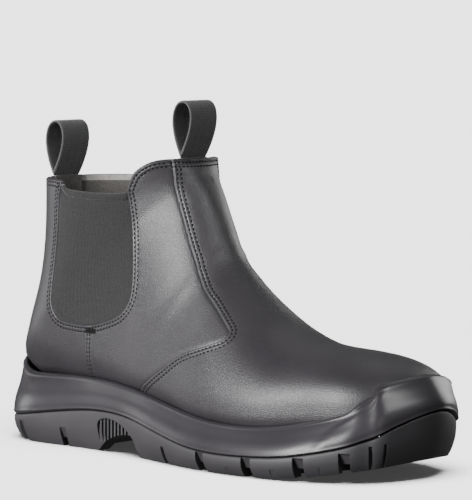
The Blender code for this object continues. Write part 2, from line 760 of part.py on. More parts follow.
def material(name):
    colour, roughness, metallic = MATERIALS[name]
    made = bpy.data.materials.get(name) or bpy.data.materials.new(name)
    made.use_nodes = True
    shader = made.node_tree.nodes["Principled BSDF"]
    shader.inputs["Base Color"].default_value = (*colour, 1.0)
    shader.inputs["Roughness"].default_value = roughness
    shader.inputs["Metallic"].default_value = metallic
    return made


def finished(piece, material_name):
    """Gives a piece its material and shading."""
    piece.data.name = piece.name
    piece.data.materials.clear()
    piece.data.materials.append(material(material_name))
    piece.data.shade_smooth()
    piece.data.set_sharp_from_angle(angle=math.radians(32))
    return piece


def main():
    clear_scene()
    make_upper()
    make_gore("gore_outer", -1)
    make_gore("gore_inner", 1)
    make_insole()
    make_midsole()
    make_outsole()
    for name, front in (("pull_loop_front", True), ("pull_loop_back", False)):
        make_loop(name, collar_inside(front), collar_height(front) + GAP, LOOP_LEAN, 1 if front else -1)


main()
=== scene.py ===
"""The dressed side gore work boot: its leather, cloth and rubber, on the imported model."""
import math

import bmesh
import bpy
import numpy as np
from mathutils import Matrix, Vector
from mathutils.bvhtree import BVHTree


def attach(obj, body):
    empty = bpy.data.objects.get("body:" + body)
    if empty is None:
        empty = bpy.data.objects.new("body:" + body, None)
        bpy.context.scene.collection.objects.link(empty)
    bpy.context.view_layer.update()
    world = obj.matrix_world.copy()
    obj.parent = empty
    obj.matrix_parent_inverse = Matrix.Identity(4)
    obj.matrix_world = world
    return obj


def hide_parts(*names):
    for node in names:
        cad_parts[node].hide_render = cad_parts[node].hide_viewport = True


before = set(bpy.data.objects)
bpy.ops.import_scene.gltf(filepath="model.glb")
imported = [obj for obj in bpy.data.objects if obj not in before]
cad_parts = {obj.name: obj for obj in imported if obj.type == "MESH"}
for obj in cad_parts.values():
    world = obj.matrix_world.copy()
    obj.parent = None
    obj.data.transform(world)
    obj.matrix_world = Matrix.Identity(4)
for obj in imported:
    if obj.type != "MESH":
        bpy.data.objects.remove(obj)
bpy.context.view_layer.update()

# The last, measured over the leather of the vamp
LAST_LENGTH = 0.288
LAST_BACK = -0.032
BALL_WIDTH = 0.094
SEAT_HEIGHT = 0.034
INSTEP_HEIGHT = 0.119
COLLAR_BACK_HEIGHT = 0.1532
COLLAR_FRONT_HEIGHT = 0.167
TOE_TIP_HEIGHT = 0.042
TOE_TURN = 0.009
TOE_ROUND_PLAN = 2.35
TOE_ROUND_SIDE = 2.05
TOE_TURN_POWER = 1.5
TIP_OVER_ROUND = 2.1
TIP_UNDER_ROUND = 2.3

# The upper's leather, and the clearance that pieces in contact keep
WALL = 0.0018
VAMP_STEP = 0.0012
FRONT_STEP = 0.0005
STRIP_WIDTH = 0.024
GAP = 0.0003
INSOLE_THICKNESS = 0.0045
GORE_RECESS = 0.0004

# The sole
SOLE_LENGTH = 0.301
SOLE_BACK = -0.040
SOLE_WIDTH = 0.107
TOE_SPRING = 0.0115
CUP_HEIGHT = 0.040
LIP = 0.0016
BUMPER_STEP = 0.0009
TREAD_INSET = 0.0045
TREAD_DEPTH = 0.005
LUG_REACH = 0.013
EDGE_ROUND = 0.0012
EDGE_INSET = 0.0007
RIB_PITCH = 0.0027
RIB_WIDTH = 0.0012
RIB_STEP = 0.0016
WAIST_RECESS = 0.0035

# The pull loops
STRAP_WIDTH = 0.022
STRAP_THICKNESS = 0.0014
LOOP_HEIGHT = 0.0325
LOOP_DEPTH = 0.0147
LOOP_LEAN = 0.0018
LOOP_TAIL = 0.014
LOOP_SPLIT = 2.5 * STRAP_THICKNESS
TAIL_THICKNESS = 1.3 * STRAP_THICKNESS
DROP_WIDEST = 0.77
# across: share of the half width. thick: share of the strap's thickness.
STRAP_PROFILE = (
    (-1.0, 0.55), (-0.97, 0.85), (-0.9, 1.0), (-0.6, 1.0), (-0.3, 1.0), (0.0, 1.0),
    (0.3, 1.0), (0.6, 1.0), (0.9, 1.0), (0.97, 0.85), (1.0, 0.55),
)

# How finely the round forms are cut into faces
AROUND = 132
TOE_RINGS = 26
BODY_RINGS = 118
OUTLINE_POINTS = 240
LOOP_POINTS = 64
TAIL_POINTS = 9
ROUND_POINTS = 40

# How far the toe's bend and the sole's edges are evened out, in rings and in outline points
BEND_REACH = 8
BEND_PASSES = 14
EDGE_REACH = 9

# Far enough to leave the boot on any side
BEYOND = 0.4

# One row a section, from the toe back to the heel and up to the collar.
# A section lies in a plane from its under point to its over point.
# Along: share of the last's length. Under: 0 to 1 up to the seat, 1 to 2 on to the back collar.
# Over: 0 to 1 up to the instep, 1 to 2 on to the front collar.
# Outer, inner and shift: shares of the ball width. Widest: where it is widest, share of its height.
# under_along, under, over_along, over, outer, inner, widest, over_round, under_round, shift
LAST_SECTIONS = np.array([
    (0.823, 0.618, 0.826, 0.557, 0.457, 0.452, 0.42, 2.30, 3.6, 0.048),
    (0.743, 0.574, 0.750, 0.578, 0.511, 0.479, 0.36, 2.05, 3.6, 0.027),
    (0.667, 0.574, 0.684, 0.650, 0.527, 0.473, 0.30, 1.90, 3.6, 0.011),
    (0.569, 0.647, 0.625, 0.758, 0.511, 0.436, 0.25, 1.85, 3.4, 0.0),
    (0.465, 0.765, 0.571, 0.875, 0.463, 0.399, 0.25, 1.85, 3.2, 0.0),
    (0.361, 0.868, 0.531, 1.000, 0.420, 0.378, 0.26, 1.90, 3.0, 0.0),
    (0.257, 0.941, 0.510, 1.250, 0.388, 0.367, 0.29, 2.05, 3.0, 0.0),
    (0.153, 0.971, 0.491, 1.480, 0.362, 0.356, 0.32, 2.30, 2.9, 0.0),
    (0.048, 1.000, 0.479, 1.625, 0.351, 0.346, 0.36, 2.50, 2.6, 0.0),
    (-0.014, 1.085, 0.468, 1.729, 0.351, 0.346, 0.40, 2.60, 2.2, 0.0),
    (-0.009, 1.221, 0.459, 1.802, 0.356, 0.351, 0.44, 2.65, 2.05, 0.0),
    (0.024, 1.460, 0.453, 1.875, 0.367, 0.364, 0.46, 2.65, 2.0, 0.0),
    (0.045, 1.698, 0.447, 1.938, 0.388, 0.388, 0.48, 2.65, 2.05, 0.0),
    (0.056, 1.987, 0.442, 2.000, 0.410, 0.410, 0.50, 2.65, 2.15, 0.0),
    (0.063, 2.157, 0.437, 2.400, 0.425, 0.425, 0.50, 2.65, 2.15, 0.0),
])

# One row a point, from the back of the heel along the outer side to the toe and back.
# Along: share of the sole's length. Across: share of its width. Tread: share of the toe spring.
# Parting: the outsole's top edge. Rim: the midsole's top edge, both shares of the cup's height.
# along, across, tread, parting, rim
SOLE_OUTLINE = np.array([
    (0.000, 0.000, 0.18, 0.300, 1.240),
    (0.028, -0.212, 0.09, 0.340, 1.000),
    (0.106, -0.341, 0.00, 0.400, 0.985),
    (0.249, -0.350, 0.00, 0.575, 1.030),
    (0.372, -0.385, 0.00, 0.585, 0.985),
    (0.482, -0.455, 0.00, 0.430, 0.830),
    (0.591, -0.515, 0.00, 0.285, 0.690),
    (0.704, -0.530, 0.00, 0.280, 0.650),
    (0.814, -0.495, 0.16, 0.335, 0.740),
    (0.907, -0.393, 0.50, 0.500, 0.925),
    (0.943, -0.313, 0.66, 0.600, 1.120),
    (0.970, -0.224, 0.80, 0.700, 1.310),
    (1.000, 0.075, 1.00, 1.005, 1.415),
    (0.966, 0.331, 0.80, 0.700, 1.310),
    (0.930, 0.392, 0.66, 0.600, 1.120),
    (0.886, 0.438, 0.50, 0.490, 0.925),
    (0.797, 0.470, 0.16, 0.335, 0.740),
    (0.681, 0.460, 0.00, 0.280, 0.650),
    (0.565, 0.405, 0.00, 0.300, 0.720),
    (0.458, 0.346, 0.00, 0.445, 0.850),
    (0.349, 0.327, 0.00, 0.590, 0.995),
    (0.239, 0.341, 0.00, 0.565, 1.030),
    (0.106, 0.336, 0.00, 0.400, 0.985),
    (0.024, 0.224, 0.09, 0.340, 1.000),
])

# The midsole's side from above its lower edge to the rim, and where the toe bumper stands proud.
# rise, inset (shares of the side's own), bulge (share of the lip), bumper (share of its step)
MIDSOLE_SIDE = (
    (0.06, 0.00, 0.10, 0.9),
    (0.22, 0.04, 0.25, 1.0),
    (0.42, 0.16, 0.10, 1.0),
    (0.62, 0.36, -0.20, 1.0),
    (0.80, 0.60, -0.10, 0.9),
    (0.92, 0.82, 0.15, 0.6),
    (1.00, 1.00, 0.00, 0.3),
)

# The outsole's side from the parting line down. fall and inset: shares of its height and inset.
OUTSOLE_SIDE = ((0.16, 0.0), (0.45, 0.14), (0.78, 0.55), (1.0, 1.0))

# Outlines seen from the side. along: share of the last's length. height: share of the collar front's.
VAMP_EDGE = (
    (0.425, 1.060), (0.433, 0.965), (0.438, 0.898), (0.460, 0.799), (0.486, 0.701),
    (0.524, 0.589), (0.564, 0.528), (0.599, 0.477), (0.617, 0.448), (0.611, 0.423),
    (0.579, 0.401), (0.521, 0.364), (0.470, 0.307), (0.435, 0.268), (0.408, 0.233),
    (0.385, 0.180),
)
GORE_WINDOW = (
    (0.188, 1.060), (0.183, 0.925), (0.164, 0.848), (0.155, 0.743), (0.141, 0.620),
    (0.135, 0.533), (0.136, 0.481), (0.152, 0.441), (0.184, 0.427), (0.243, 0.426),
    (0.293, 0.445), (0.335, 0.475), (0.356, 0.524), (0.359, 0.591), (0.352, 0.725),
    (0.350, 0.860), (0.349, 0.930), (0.348, 1.060),
)
COLLAR_LINE = (
    (-0.10, 0.918), (0.12, 0.918), (0.158, 0.917), (0.176, 0.908), (0.194, 0.886),
    (0.28, 0.877), (0.338, 0.878), (0.350, 0.892), (0.366, 0.942), (0.385, 0.971),
    (0.406, 0.991), (0.430, 1.000), (0.460, 1.000), (0.60, 1.000),
)
SIDE_SEAM = 0.237
STRIP_FOOT = 0.263

# The bumper's back edge and the arched waist, seen from the side. Shares of sole length, cup height.
BUMPER_EDGE = ((0.850, 0.30), (0.884, 0.72), (0.921, 0.93), (0.944, 1.10), (0.952, 1.80))
WAIST_ARCH = (
    (0.270, -0.10), (0.292, 0.00), (0.315, 0.13), (0.330, 0.20), (0.358, 0.27),
    (0.386, 0.29), (0.404, 0.24), (0.415, 0.09), (0.427, 0.00), (0.440, -0.10),
)
WAIST_HOLLOW = (
    (0.305, 0.15), (0.303, 0.40), (0.315, 0.48), (0.335, 0.50), (0.360, 0.47),
    (0.388, 0.38), (0.407, 0.26), (0.412, 0.15),
)

# Grooves from the side into the tread, on both sides.
# along: share of sole length. width, height and reach in metres, height above the tread.
SIDE_GROOVES = (
    (0.083, 0.0055, 0.0115, 0.016),
    (0.149, 0.0022, 0.0045, 0.004),
    (0.213, 0.0045, 0.0110, 0.016),
    (0.445, 0.0022, 0.0050, 0.004),
    (0.502, 0.0030, 0.0100, 0.016),
    (0.545, 0.0026, 0.0045, 0.004),
    (0.611, 0.0060, 0.0110, 0.016),
    (0.678, 0.0030, 0.0045, 0.004),
    (0.732, 0.0062, 0.0110, 0.016),
    (0.787, 0.0030, 0.0050, 0.004),
    (0.832, 0.0062, 0.0110, 0.016),
    (0.877, 0.0030, 0.0050, 0.004),
    (0.912, 0.0062, 0.0110, 0.016),
    (0.948, 0.0020, 0.0130, 0.005),
    (0.967, 0.0020, 0.0130, 0.005),
)

# Lugs inside the ring of side lugs. along, across: shares of sole length and width.
# length and width in metres, skew: how far its sides lean along the sole.
TREAD_LUGS = (
    (0.133, 0.000, 0.024, 0.026, 0.0),
    (0.530, -0.12, 0.013, 0.018, 0.006),
    (0.530, 0.110, 0.013, 0.018, -0.006),
    (0.612, -0.15, 0.013, 0.022, 0.007),
    (0.612, 0.135, 0.013, 0.022, -0.007),
    (0.694, -0.17, 0.013, 0.024, 0.007),
    (0.694, 0.155, 0.013, 0.024, -0.007),
    (0.776, -0.15, 0.013, 0.022, 0.007),
    (0.776, 0.155, 0.013, 0.022, -0.007),
    (0.858, 0.010, 0.012, 0.034, 0.0),
)

# Levels over the vamp's face
BACK_LEVEL = -(VAMP_STEP + FRONT_STEP)
INSIDE_LEVEL = BACK_LEVEL - WALL

# The midsole's details. Beads: step, rise of the middle and width, the last two as shares of the side.
LIP_BEAD = (0.0007, 0.955, 0.035)
FOOT_BEAD = (0.0004, 0.06, 0.04)
BUMPER_BLEND = 0.0016
MARK_DEPTH = 0.0004
MARK_WIDTH = 0.0007
MARK_BACK = 0.2
MARK_RISES = (0.3, 0.85)
# From the lip down the cup's inside. inward and rise in metres, from the rim.
RIM_ROUND = ((0.0005, 0.0002), (0.0013, -0.0001), (0.0022, -0.0015), (0.0026, -0.0040))
CUP_INWARD = 0.0030
CUP_DEPTH = 0.012
CUP_FLOOR = 0.001

# Folds along the leather's edges, in millimetres: distance into the piece, height over its own face
VAMP_FOLD = (
    (-3.0, -1.20), (-1.4, -1.30), (-0.5, -1.55), (-0.12, -1.70), (0.08, -0.15), (0.35, 0.16),
    (0.8, 0.20), (1.2, 0.10), (1.8, -0.08), (2.4, 0.06), (2.9, 0.14), (3.4, 0.06),
    (4.0, -0.10), (4.7, 0.0), (7.0, 0.0),
)
EDGE_FOLD = (
    (0.0, -0.80), (0.15, -0.28), (0.5, 0.06), (0.8, 0.14), (1.2, 0.07), (1.8, -0.08),
    (2.4, 0.04), (2.9, 0.12), (3.4, 0.04), (4.0, -0.10), (4.7, 0.0), (7.0, 0.0),
)
SEAM_FOLD = (
    (-2.0, 0.0), (-0.6, -0.12), (-0.12, -0.22), (0.08, 0.35), (0.4, 0.62), (0.9, 0.64),
    (1.5, 0.40), (2.0, 0.62), (2.9, 0.60), (3.6, 0.34), (4.2, 0.5), (5.5, 0.5),
)
STRIP_FOLD = (
    (-1.2, 0.0), (-0.12, -0.18), (0.08, 0.60), (0.5, 0.98), (1.2, 0.94), (1.8, 0.66),
    (2.4, 0.9), (3.5, 0.9),
)
HEM_WIDTH = 4.2
HEM_FOLD = (
    (0.0, 0.2), (0.4, 0.55), (HEM_WIDTH - 0.5, 0.55), (HEM_WIDTH, -0.45), (HEM_WIDTH + 0.5, 0.0),
)
HEM_CUTS = (0.0, HEM_WIDTH - 0.3, HEM_WIDTH)

# Rows of stitches, in millimetres from the edge or the seam
STITCH_ROWS = (1.8, 4.0)
SEAM_ROWS = (1.5, 3.6)
BARTACK_DROPS = (1.9, 2.6, 3.3, 4.0)

# The stitches, in metres
STITCH_PITCH = 0.0025
STITCH_LENGTH = 0.00165
STITCH_WIDTH = 0.00095
STITCH_RISE = 0.36
STITCH_SIDES = 6
# along: share of the length. size: share of the width.
STITCH_RINGS = ((-0.5, 0.25), (-0.34, 0.9), (0.0, 1.1), (0.34, 0.9), (0.5, 0.25))
SEAM_ENDS = (0.0695, 0.030)
BARTACK_BACK = 0.001
BARTACK_LENGTH = 0.008
BARTACK_REACH = 0.003

# How rows are set on the leather: rays from the side and from inside the shaft
SIDE_START = 0.2
SHAFT_MIDDLE = 0.04
SKIN_START = 0.004
SKIN_REACH = 0.009
TANGENT = 0.5

# How the leather's grid is measured and cut
SNAP = 0.00004
LEAST_TILT = 0.12
VAMP_LAP = 0.003
STRIP_FRONT = 0.002
NO_STRIP = -0.02
# Where the free edge leaves the collar for the gore's window, in the shares of those tables
BACK_CORNER = 0.18
FRONT_CORNER = 0.345
WINDOW_TOP = 0.87
GORE_SPAN = (0.12, 0.38)
GORE_CEILING = 0.9

# The skins' rolled edges, and the band of binding inside the collar
LEATHER_ROLL = 0.0003
CLOTH_ROLL = 0.0002
# share of the thickness, share of the roll
ROLL = ((0.2, 0.7), (0.5, 1.0), (0.8, 0.7))
BINDING_WIDTH = 0.0035
BINDING_FLOOR = 0.85

# Soft creases, seen from the side. Shares of the last's length and the collar front's height.
# along and height of both ends, width and depth in metres, side: -1 outer, 1 inner, 0 both.
CREASES = (
    (0.560, 0.520, 0.640, 0.330, 0.0060, -0.00010, 0),
    (0.620, 0.470, 0.690, 0.300, 0.0065, 0.00008, 0),
    (0.330, 0.400, 0.470, 0.360, 0.0080, -0.00018, -1),
    (0.100, 0.420, 0.230, 0.350, 0.0075, -0.00018, 0),
    (0.440, 0.600, 0.500, 0.470, 0.0070, -0.00010, 1),
    (0.240, 0.330, 0.360, 0.300, 0.0090, 0.00014, 0),
)
CREASE_FADE = 0.9
CREASE_SIDE = 0.01

# Columns of the leather's grid: positions, normals and signed distances from the lines on it
POSITION, NORMAL = slice(0, 3), slice(3, 6)
VAMP, EDGE, TOP, SEAM, STRIP = 6, 7, 8, 9, 10

CAMERA_AZIMUTH = math.radians(41.5)
CAMERA_ELEVATION = math.radians(4.7)
CAMERA_DISTANCE = 1.745
CAMERA_TARGET = Vector((0.1224, 0.0, 0.1166))
CAMERA_LENS = 224.64
SENSOR = 36.0
CLIPS = (0.05, 3000.0)

# Soft boxes. azimuth and elevation in degrees around the boot, distance, width and height in metres,
# watts, and whether they shine in the leather. The fill from behind would glare on the toe.
LIGHTS = (
    ("key", -6.0, 12.0, 1.3, 0.46, 0.90, 44.0, True),
    ("left", -75.0, 4.0, 1.4, 0.60, 0.50, 4.0, True),
    ("high", -30.0, 46.0, 1.3, 0.40, 0.40, 0.6, True),
    ("shaft", 56.0, 14.0, 1.3, 0.10, 0.40, 0.8, True),
    ("toe", 90.0, 38.0, 1.2, 0.20, 0.20, 4.5, True),
    ("inner", 175.0, 12.0, 1.6, 1.00, 0.80, 9.0, True),
    ("far", 200.0, 55.0, 1.5, 0.60, 0.60, 1.0, True),
    ("rear", 225.0, 24.0, 1.6, 1.20, 1.00, 38.0, False),
)
WORLD_GLOW = 0.09
FLOOR_GLOW = 0.05
FLOOR_SIZE = 4000.0
BACKDROP_GLOW = 2.9
BACKDROP_RADIUS = 1900.0
SUN_POWER = 12.0
SUN_SPREAD = math.radians(50)
SUN_TURN = (math.radians(12), math.radians(10), 0)


def through(rows, place):
    """A point on the Catmull-Rom curve through the rows, with place counted in rows."""
    last = len(rows) - 1
    i = min(int(place), last - 1)
    f = place - i
    here, there = rows[i], rows[i + 1]
    before = rows[i - 1] if i > 0 else 2 * here - there
    after = rows[i + 2] if i + 2 <= last else 2 * there - here
    slope = there - before
    bend = 2 * before - 5 * here + 4 * there - after
    turn = 3 * here - before - 3 * there + after
    return here + 0.5 * f * (slope + f * (bend + f * turn))


def smooth(rows, steps):
    rows = np.array(rows)
    count = (len(rows) - 1) * steps
    return np.array([through(rows, k / steps) for k in range(count + 1)])


def closed_outline(rows, count):
    looped = np.concatenate([rows[-2:], rows, rows[:3]])
    return np.array([through(looped, 2 + len(rows) * k / count) for k in range(count)])


def last_along(share):
    return LAST_BACK + share * LAST_LENGTH


def sole_along(share):
    return SOLE_BACK + share * SOLE_LENGTH


def height_of(share, first, second):
    """Height of a share that runs 0 to 1 up to the first height and 1 to 2 on to the second."""
    if share <= 1:
        return share * first
    return first + (share - 1) * (second - first)


def section_sizes(row):
    """One section's row in metres, with its two rounding powers."""
    under_along, under, over_along, over, outer, inner, widest, over_round, under_round, shift = row
    return np.array([
        last_along(under_along),
        height_of(under, SEAT_HEIGHT, COLLAR_BACK_HEIGHT),
        last_along(over_along),
        height_of(over, INSTEP_HEIGHT, COLLAR_FRONT_HEIGHT),
        outer * BALL_WIDTH,
        inner * BALL_WIDTH,
        widest,
        over_round,
        under_round,
        shift * BALL_WIDTH,
    ])


def toe_section(first, turn):
    """A section of the toe's dome, at a turn from the tip (0) to the first full section (1)."""
    x0, under, _, over, outer, inner, widest, over_round, under_round, shift = first
    angle = turn * math.pi / 2
    forward = math.cos(angle) ** (2 / TOE_ROUND_PLAN)
    wide = math.sin(angle) ** (2 / TOE_ROUND_PLAN)
    tall = (1 - forward ** TOE_ROUND_SIDE) ** (1 / TOE_ROUND_SIDE)
    x = x0 + (last_along(1.0) - x0) * forward
    low = TOE_TIP_HEIGHT - (TOE_TIP_HEIGHT - under) * tall
    high = TOE_TIP_HEIGHT + (over - TOE_TIP_HEIGHT) * tall
    middle = under + (over - under) * widest
    middle += (TOE_TIP_HEIGHT - middle) * (1 - tall)
    return np.array([
        x, low, x, high, outer * wide, inner * wide,
        (middle - low) / (high - low),
        TIP_OVER_ROUND + (over_round - TIP_OVER_ROUND) * tall,
        TIP_UNDER_ROUND + (under_round - TIP_UNDER_ROUND) * tall,
        shift + (TOE_TURN - shift) * forward ** TOE_TURN_POWER,
    ])


def section_ring(section, around):
    """Points round one section, from its top down the outer side."""
    x0, z0, x1, z1, outer, inner, widest, over_round, under_round, shift = section
    ring = []
    for k in range(around):
        angle = 2 * math.pi * k / around
        up, out = math.cos(angle), -math.sin(angle)
        power = 2 / (over_round if up >= 0 else under_round)
        side = math.copysign(abs(out) ** power, out)
        rise = math.copysign(abs(up) ** power, up)
        y = side * (outer if side < 0 else inner) + shift
        share = widest + rise * (1 - widest if rise > 0 else widest)
        ring.append((x0 + (x1 - x0) * share, y, z0 + (z1 - z0) * share))
    return ring


def last_rings():
    """The last's rings from the toe to past the collar, with the toe's tip apart."""
    first = section_sizes(LAST_SECTIONS[0])
    sections = [toe_section(first, k / TOE_RINGS) for k in range(1, TOE_RINGS)]
    span = len(LAST_SECTIONS) - 1
    for k in range(BODY_RINGS + 1):
        sections.append(section_sizes(through(LAST_SECTIONS, span * k / BODY_RINGS)))
    rings = np.array([section_ring(section, AROUND) for section in sections])
    # Evens out the bend where the toe's dome meets the rest.
    apart = (np.arange(len(rings)) - TOE_RINGS + 1) / BEND_REACH
    share = 0.5 * np.exp(-apart ** 2)[1:-1, None, None]
    for _ in range(BEND_PASSES):
        rings[1:-1] += ((rings[:-2] + rings[2:]) / 2 - rings[1:-1]) * share
    tip = np.array([last_along(1.0), TOE_TURN, TOE_TIP_HEIGHT])
    return tip, rings


def ring_normals(rings):
    """Outward normals at the points of a grid of rings."""
    along = np.gradient(rings, axis=0)
    ahead, behind = np.roll(rings, -1, axis=1), np.roll(rings, 1, axis=1)
    normals = np.cross(along, ahead - behind)
    return normals / np.linalg.norm(normals, axis=2, keepdims=True)


def loft_faces(count, around, caps):
    """Faces of a row of rings. With caps, two more points close its ends."""
    faces = []
    for i in range(count - 1):
        for j in range(around):
            k = (j + 1) % around
            faces.append((i * around + j, (i + 1) * around + j, (i + 1) * around + k, i * around + k))
    if caps:
        first, last = count * around, count * around + 1
        end = (count - 1) * around
        for j in range(around):
            k = (j + 1) % around
            faces.append((first, j, k))
            faces.append((last, end + k, end + j))
    return faces


def surface_tree(points, faces):
    """A surface for rays and nearest points."""
    return BVHTree.FromPolygons([Vector(p) for p in points], [tuple(map(int, f)) for f in faces])


def placed(name, data):
    """An object in the scene."""
    made = bpy.data.objects.new(name, data)
    bpy.context.scene.collection.objects.link(made)
    return made


def face_out(mesh, triangles=False):
    """Turns the faces outward and, if wanted, cuts them into triangles."""
    work = bmesh.new()
    work.from_mesh(mesh)
    bmesh.ops.recalc_face_normals(work, faces=work.faces)
    if triangles:
        bmesh.ops.triangulate(work, faces=work.faces)
    work.to_mesh(mesh)
    work.free()


def finish_mesh(mesh, slots, sharp=None):
    """Materials and smooth shading, with edges over an angle in degrees left sharp."""
    mesh.materials.clear()
    for slot in slots:
        mesh.materials.append(slot)
    mesh.shade_smooth()
    if sharp:
        mesh.set_sharp_from_angle(angle=math.radians(sharp))


def make_object(name, points, faces):
    """A solid to cut, or to cut with."""
    mesh = bpy.data.meshes.new(name)
    mesh.from_pydata([tuple(point) for point in points], [], faces)
    # A warped face cut twice leaves holes, and a triangle doesn't.
    face_out(mesh, triangles=True)
    return placed(name, mesh)


def last_surface(level):
    """Points and faces of the closed last, this far outside the vamp's leather."""
    tip, rings = last_rings()
    grown = rings + ring_normals(rings) * level
    tip = tip + np.array([level, 0.0, 0.0])
    points = np.concatenate([grown.reshape(-1, 3), [tip], [grown[-1].mean(axis=0)]])
    return points, loft_faces(len(rings), AROUND, True)


def boolean(target, other, operation, solver="EXACT"):
    """Changes the target's mesh by the other solid, which is then gone."""
    modifier = target.modifiers.new(operation.lower(), "BOOLEAN")
    modifier.operation = operation
    modifier.solver = solver
    modifier.object = other
    graph = bpy.context.evaluated_depsgraph_get()
    mesh = bpy.data.meshes.new_from_object(target.evaluated_get(graph))
    target.modifiers.clear()
    target.data = mesh
    bpy.data.objects.remove(other)
    return target


def prism_faces(count):
    """Faces between two outlines of as many points, and over both."""
    faces = [(k, (k + 1) % count, count + (k + 1) % count, count + k) for k in range(count)]
    return faces + [tuple(range(count)), tuple(range(2 * count - 1, count - 1, -1))]


def prism(name, outline, low, high, axis="Y"):
    """A solid with a flat outline, from low to high along Y or Z."""
    points = []
    for depth in (low, high):
        for a, b in outline:
            points.append((a, depth, b) if axis == "Y" else (a, b, depth))
    return make_object(name, points, prism_faces(len(outline)))


def block(name, low, high):
    """A box between its lowest and highest corners."""
    outline = [(low[0], low[2]), (high[0], low[2]), (high[0], high[2]), (low[0], high[2])]
    return prism(name, outline, low[1], high[1])


def side_line(rows, steps=2):
    """A table of side view points in metres, smoothed."""
    line = smooth(rows, steps)
    return np.stack([last_along(line[:, 0]), line[:, 1] * COLLAR_FRONT_HEIGHT], axis=1)


def sole_line(rows, steps=1):
    line = smooth(rows, steps)
    return np.stack([sole_along(line[:, 0]), line[:, 1] * CUP_HEIGHT], axis=1)


def under_heights(places):
    """Heights of the last's underside at places along it."""
    line = last_rings()[1][: TOE_RINGS + BODY_RINGS // 2, AROUND // 2]
    order = np.argsort(line[:, 0])
    return np.interp(places, line[order, 0], line[order, 2])


def evened(values):
    """Heights around a closed outline, each averaged with its neighbours."""
    kernel = np.hanning(2 * EDGE_REACH + 3)[1:-1]
    padded = np.concatenate([values[-EDGE_REACH:], values, values[:EDGE_REACH]])
    return np.convolve(padded, kernel / kernel.sum(), "valid")


def sole_edge():
    """The sole's outline: points, outward normals, and tread, parting and rim heights."""
    rows = closed_outline(SOLE_OUTLINE, OUTLINE_POINTS)
    points = np.stack([sole_along(rows[:, 0]), rows[:, 1] * SOLE_WIDTH], axis=1)
    step = np.roll(points, -1, axis=0) - np.roll(points, 1, axis=0)
    normals = np.stack([step[:, 1], -step[:, 0]], axis=1)
    normals /= np.linalg.norm(normals, axis=1, keepdims=True)
    tread = np.maximum(rows[:, 2], 0.0) * TOE_SPRING
    parting, rim = evened(rows[:, 3]) * CUP_HEIGHT, evened(rows[:, 4]) * CUP_HEIGHT
    return points, normals, tread, parting, rim


def outline_solid(name, levels):
    """A solid from outline rings, its ends closed by strips from side to side."""
    rings = np.array(levels)
    count, around = rings.shape[:2]
    faces = loft_faces(count, around, False)
    for base in (0, (count - 1) * around):
        half = around // 2
        for k in range(1, half - 1):
            faces.append((base + k, base + k + 1, base + around - k - 1, base + around - k))
        faces.append((base, base + 1, base + around - 1))
        faces.append((base + half - 1, base + half, base + half + 1))
    return make_object(name, rings.reshape(-1, 3), faces)


def ring_at(points, normals, inset, heights):
    moved = points - normals * np.reshape(inset, (-1, 1))
    return np.column_stack([moved, heights])


def rim_insets(points, normals, rim):
    """How far inside the outline the rim stands, its lip's width off the leather."""
    tree = surface_tree(*last_surface(0.0))
    insets = []
    for (x, y), (nx, ny), z in zip(points, normals, rim):
        start = Vector((x + nx * SOLE_WIDTH, y + ny * SOLE_WIDTH, z))
        met = tree.ray_cast(start, Vector((-nx, -ny, 0.0)))[0]
        # A rim under the last stands off its nearest point instead.
        met = met or tree.find_nearest(start)[0]
        reach = (start.xy - met.xy).dot(Vector((nx, ny)))
        insets.append(reach - SOLE_WIDTH - LIP)
    return np.array(insets)


def edge_at(x, side):
    """The outline's point, outward normal and tread height at a place on one side."""
    points, normals, tread, _, _ = sole_edge()
    half = OUTLINE_POINTS // 2
    chosen = range(0, half + 1) if side < 0 else range(half, OUTLINE_POINTS)
    near = min(chosen, key=lambda k: abs(points[k][0] - x))
    return Vector(points[near]), Vector(normals[near]), float(tread[near])


def groove(x, side, width, height, reach):
    """A cutter from the side of the sole into its tread, tapering inwards."""
    point, normal, tread = edge_at(x, side)
    top = tread + height
    profile = (
        (-TREAD_INSET, -height), (-TREAD_INSET, top), (TREAD_INSET / 4, top),
        (min(reach, TREAD_INSET), tread + TREAD_DEPTH), (reach, tread + TREAD_DEPTH), (reach, -height),
    )
    if reach < TREAD_INSET * 2:
        profile = profile[:3] + ((reach, tread), (reach, -height))
    along = Vector((-normal.y, normal.x))
    points = []
    for shift in (-width / 2, width / 2):
        for inward, z in profile:
            place = point - normal * inward + along * shift
            points.append((place.x, place.y, z))
    return make_object("groove", points, prism_faces(len(profile)))


def tread_recess(name, start, end):
    """The hollow inside the ring of side lugs, between two places along the sole."""
    points, normals, tread, _, _ = sole_edge()
    inset = points - normals * LUG_REACH
    depths = (-TREAD_DEPTH * 2, TREAD_DEPTH)
    recess = outline_solid(name, [np.column_stack([inset, tread + depth]) for depth in depths])
    part = block("recess_part", (start, -BEYOND, -BEYOND), (end, BEYOND, BEYOND))
    boolean(recess, part, "INTERSECT")
    for along, across, length, width, skew in TREAD_LUGS:
        x, y = sole_along(along), across * SOLE_WIDTH
        if not start < x < end:
            continue
        front, side = length / 2, width / 2
        outline = [
            (x - front - skew / 2, y - side), (x + front - skew / 2, y - side),
            (x + front + skew / 2, y + side), (x - front + skew / 2, y + side),
        ]
        boolean(recess, prism("lug", outline, -BEYOND, BEYOND, "Z"), "DIFFERENCE")
    return recess


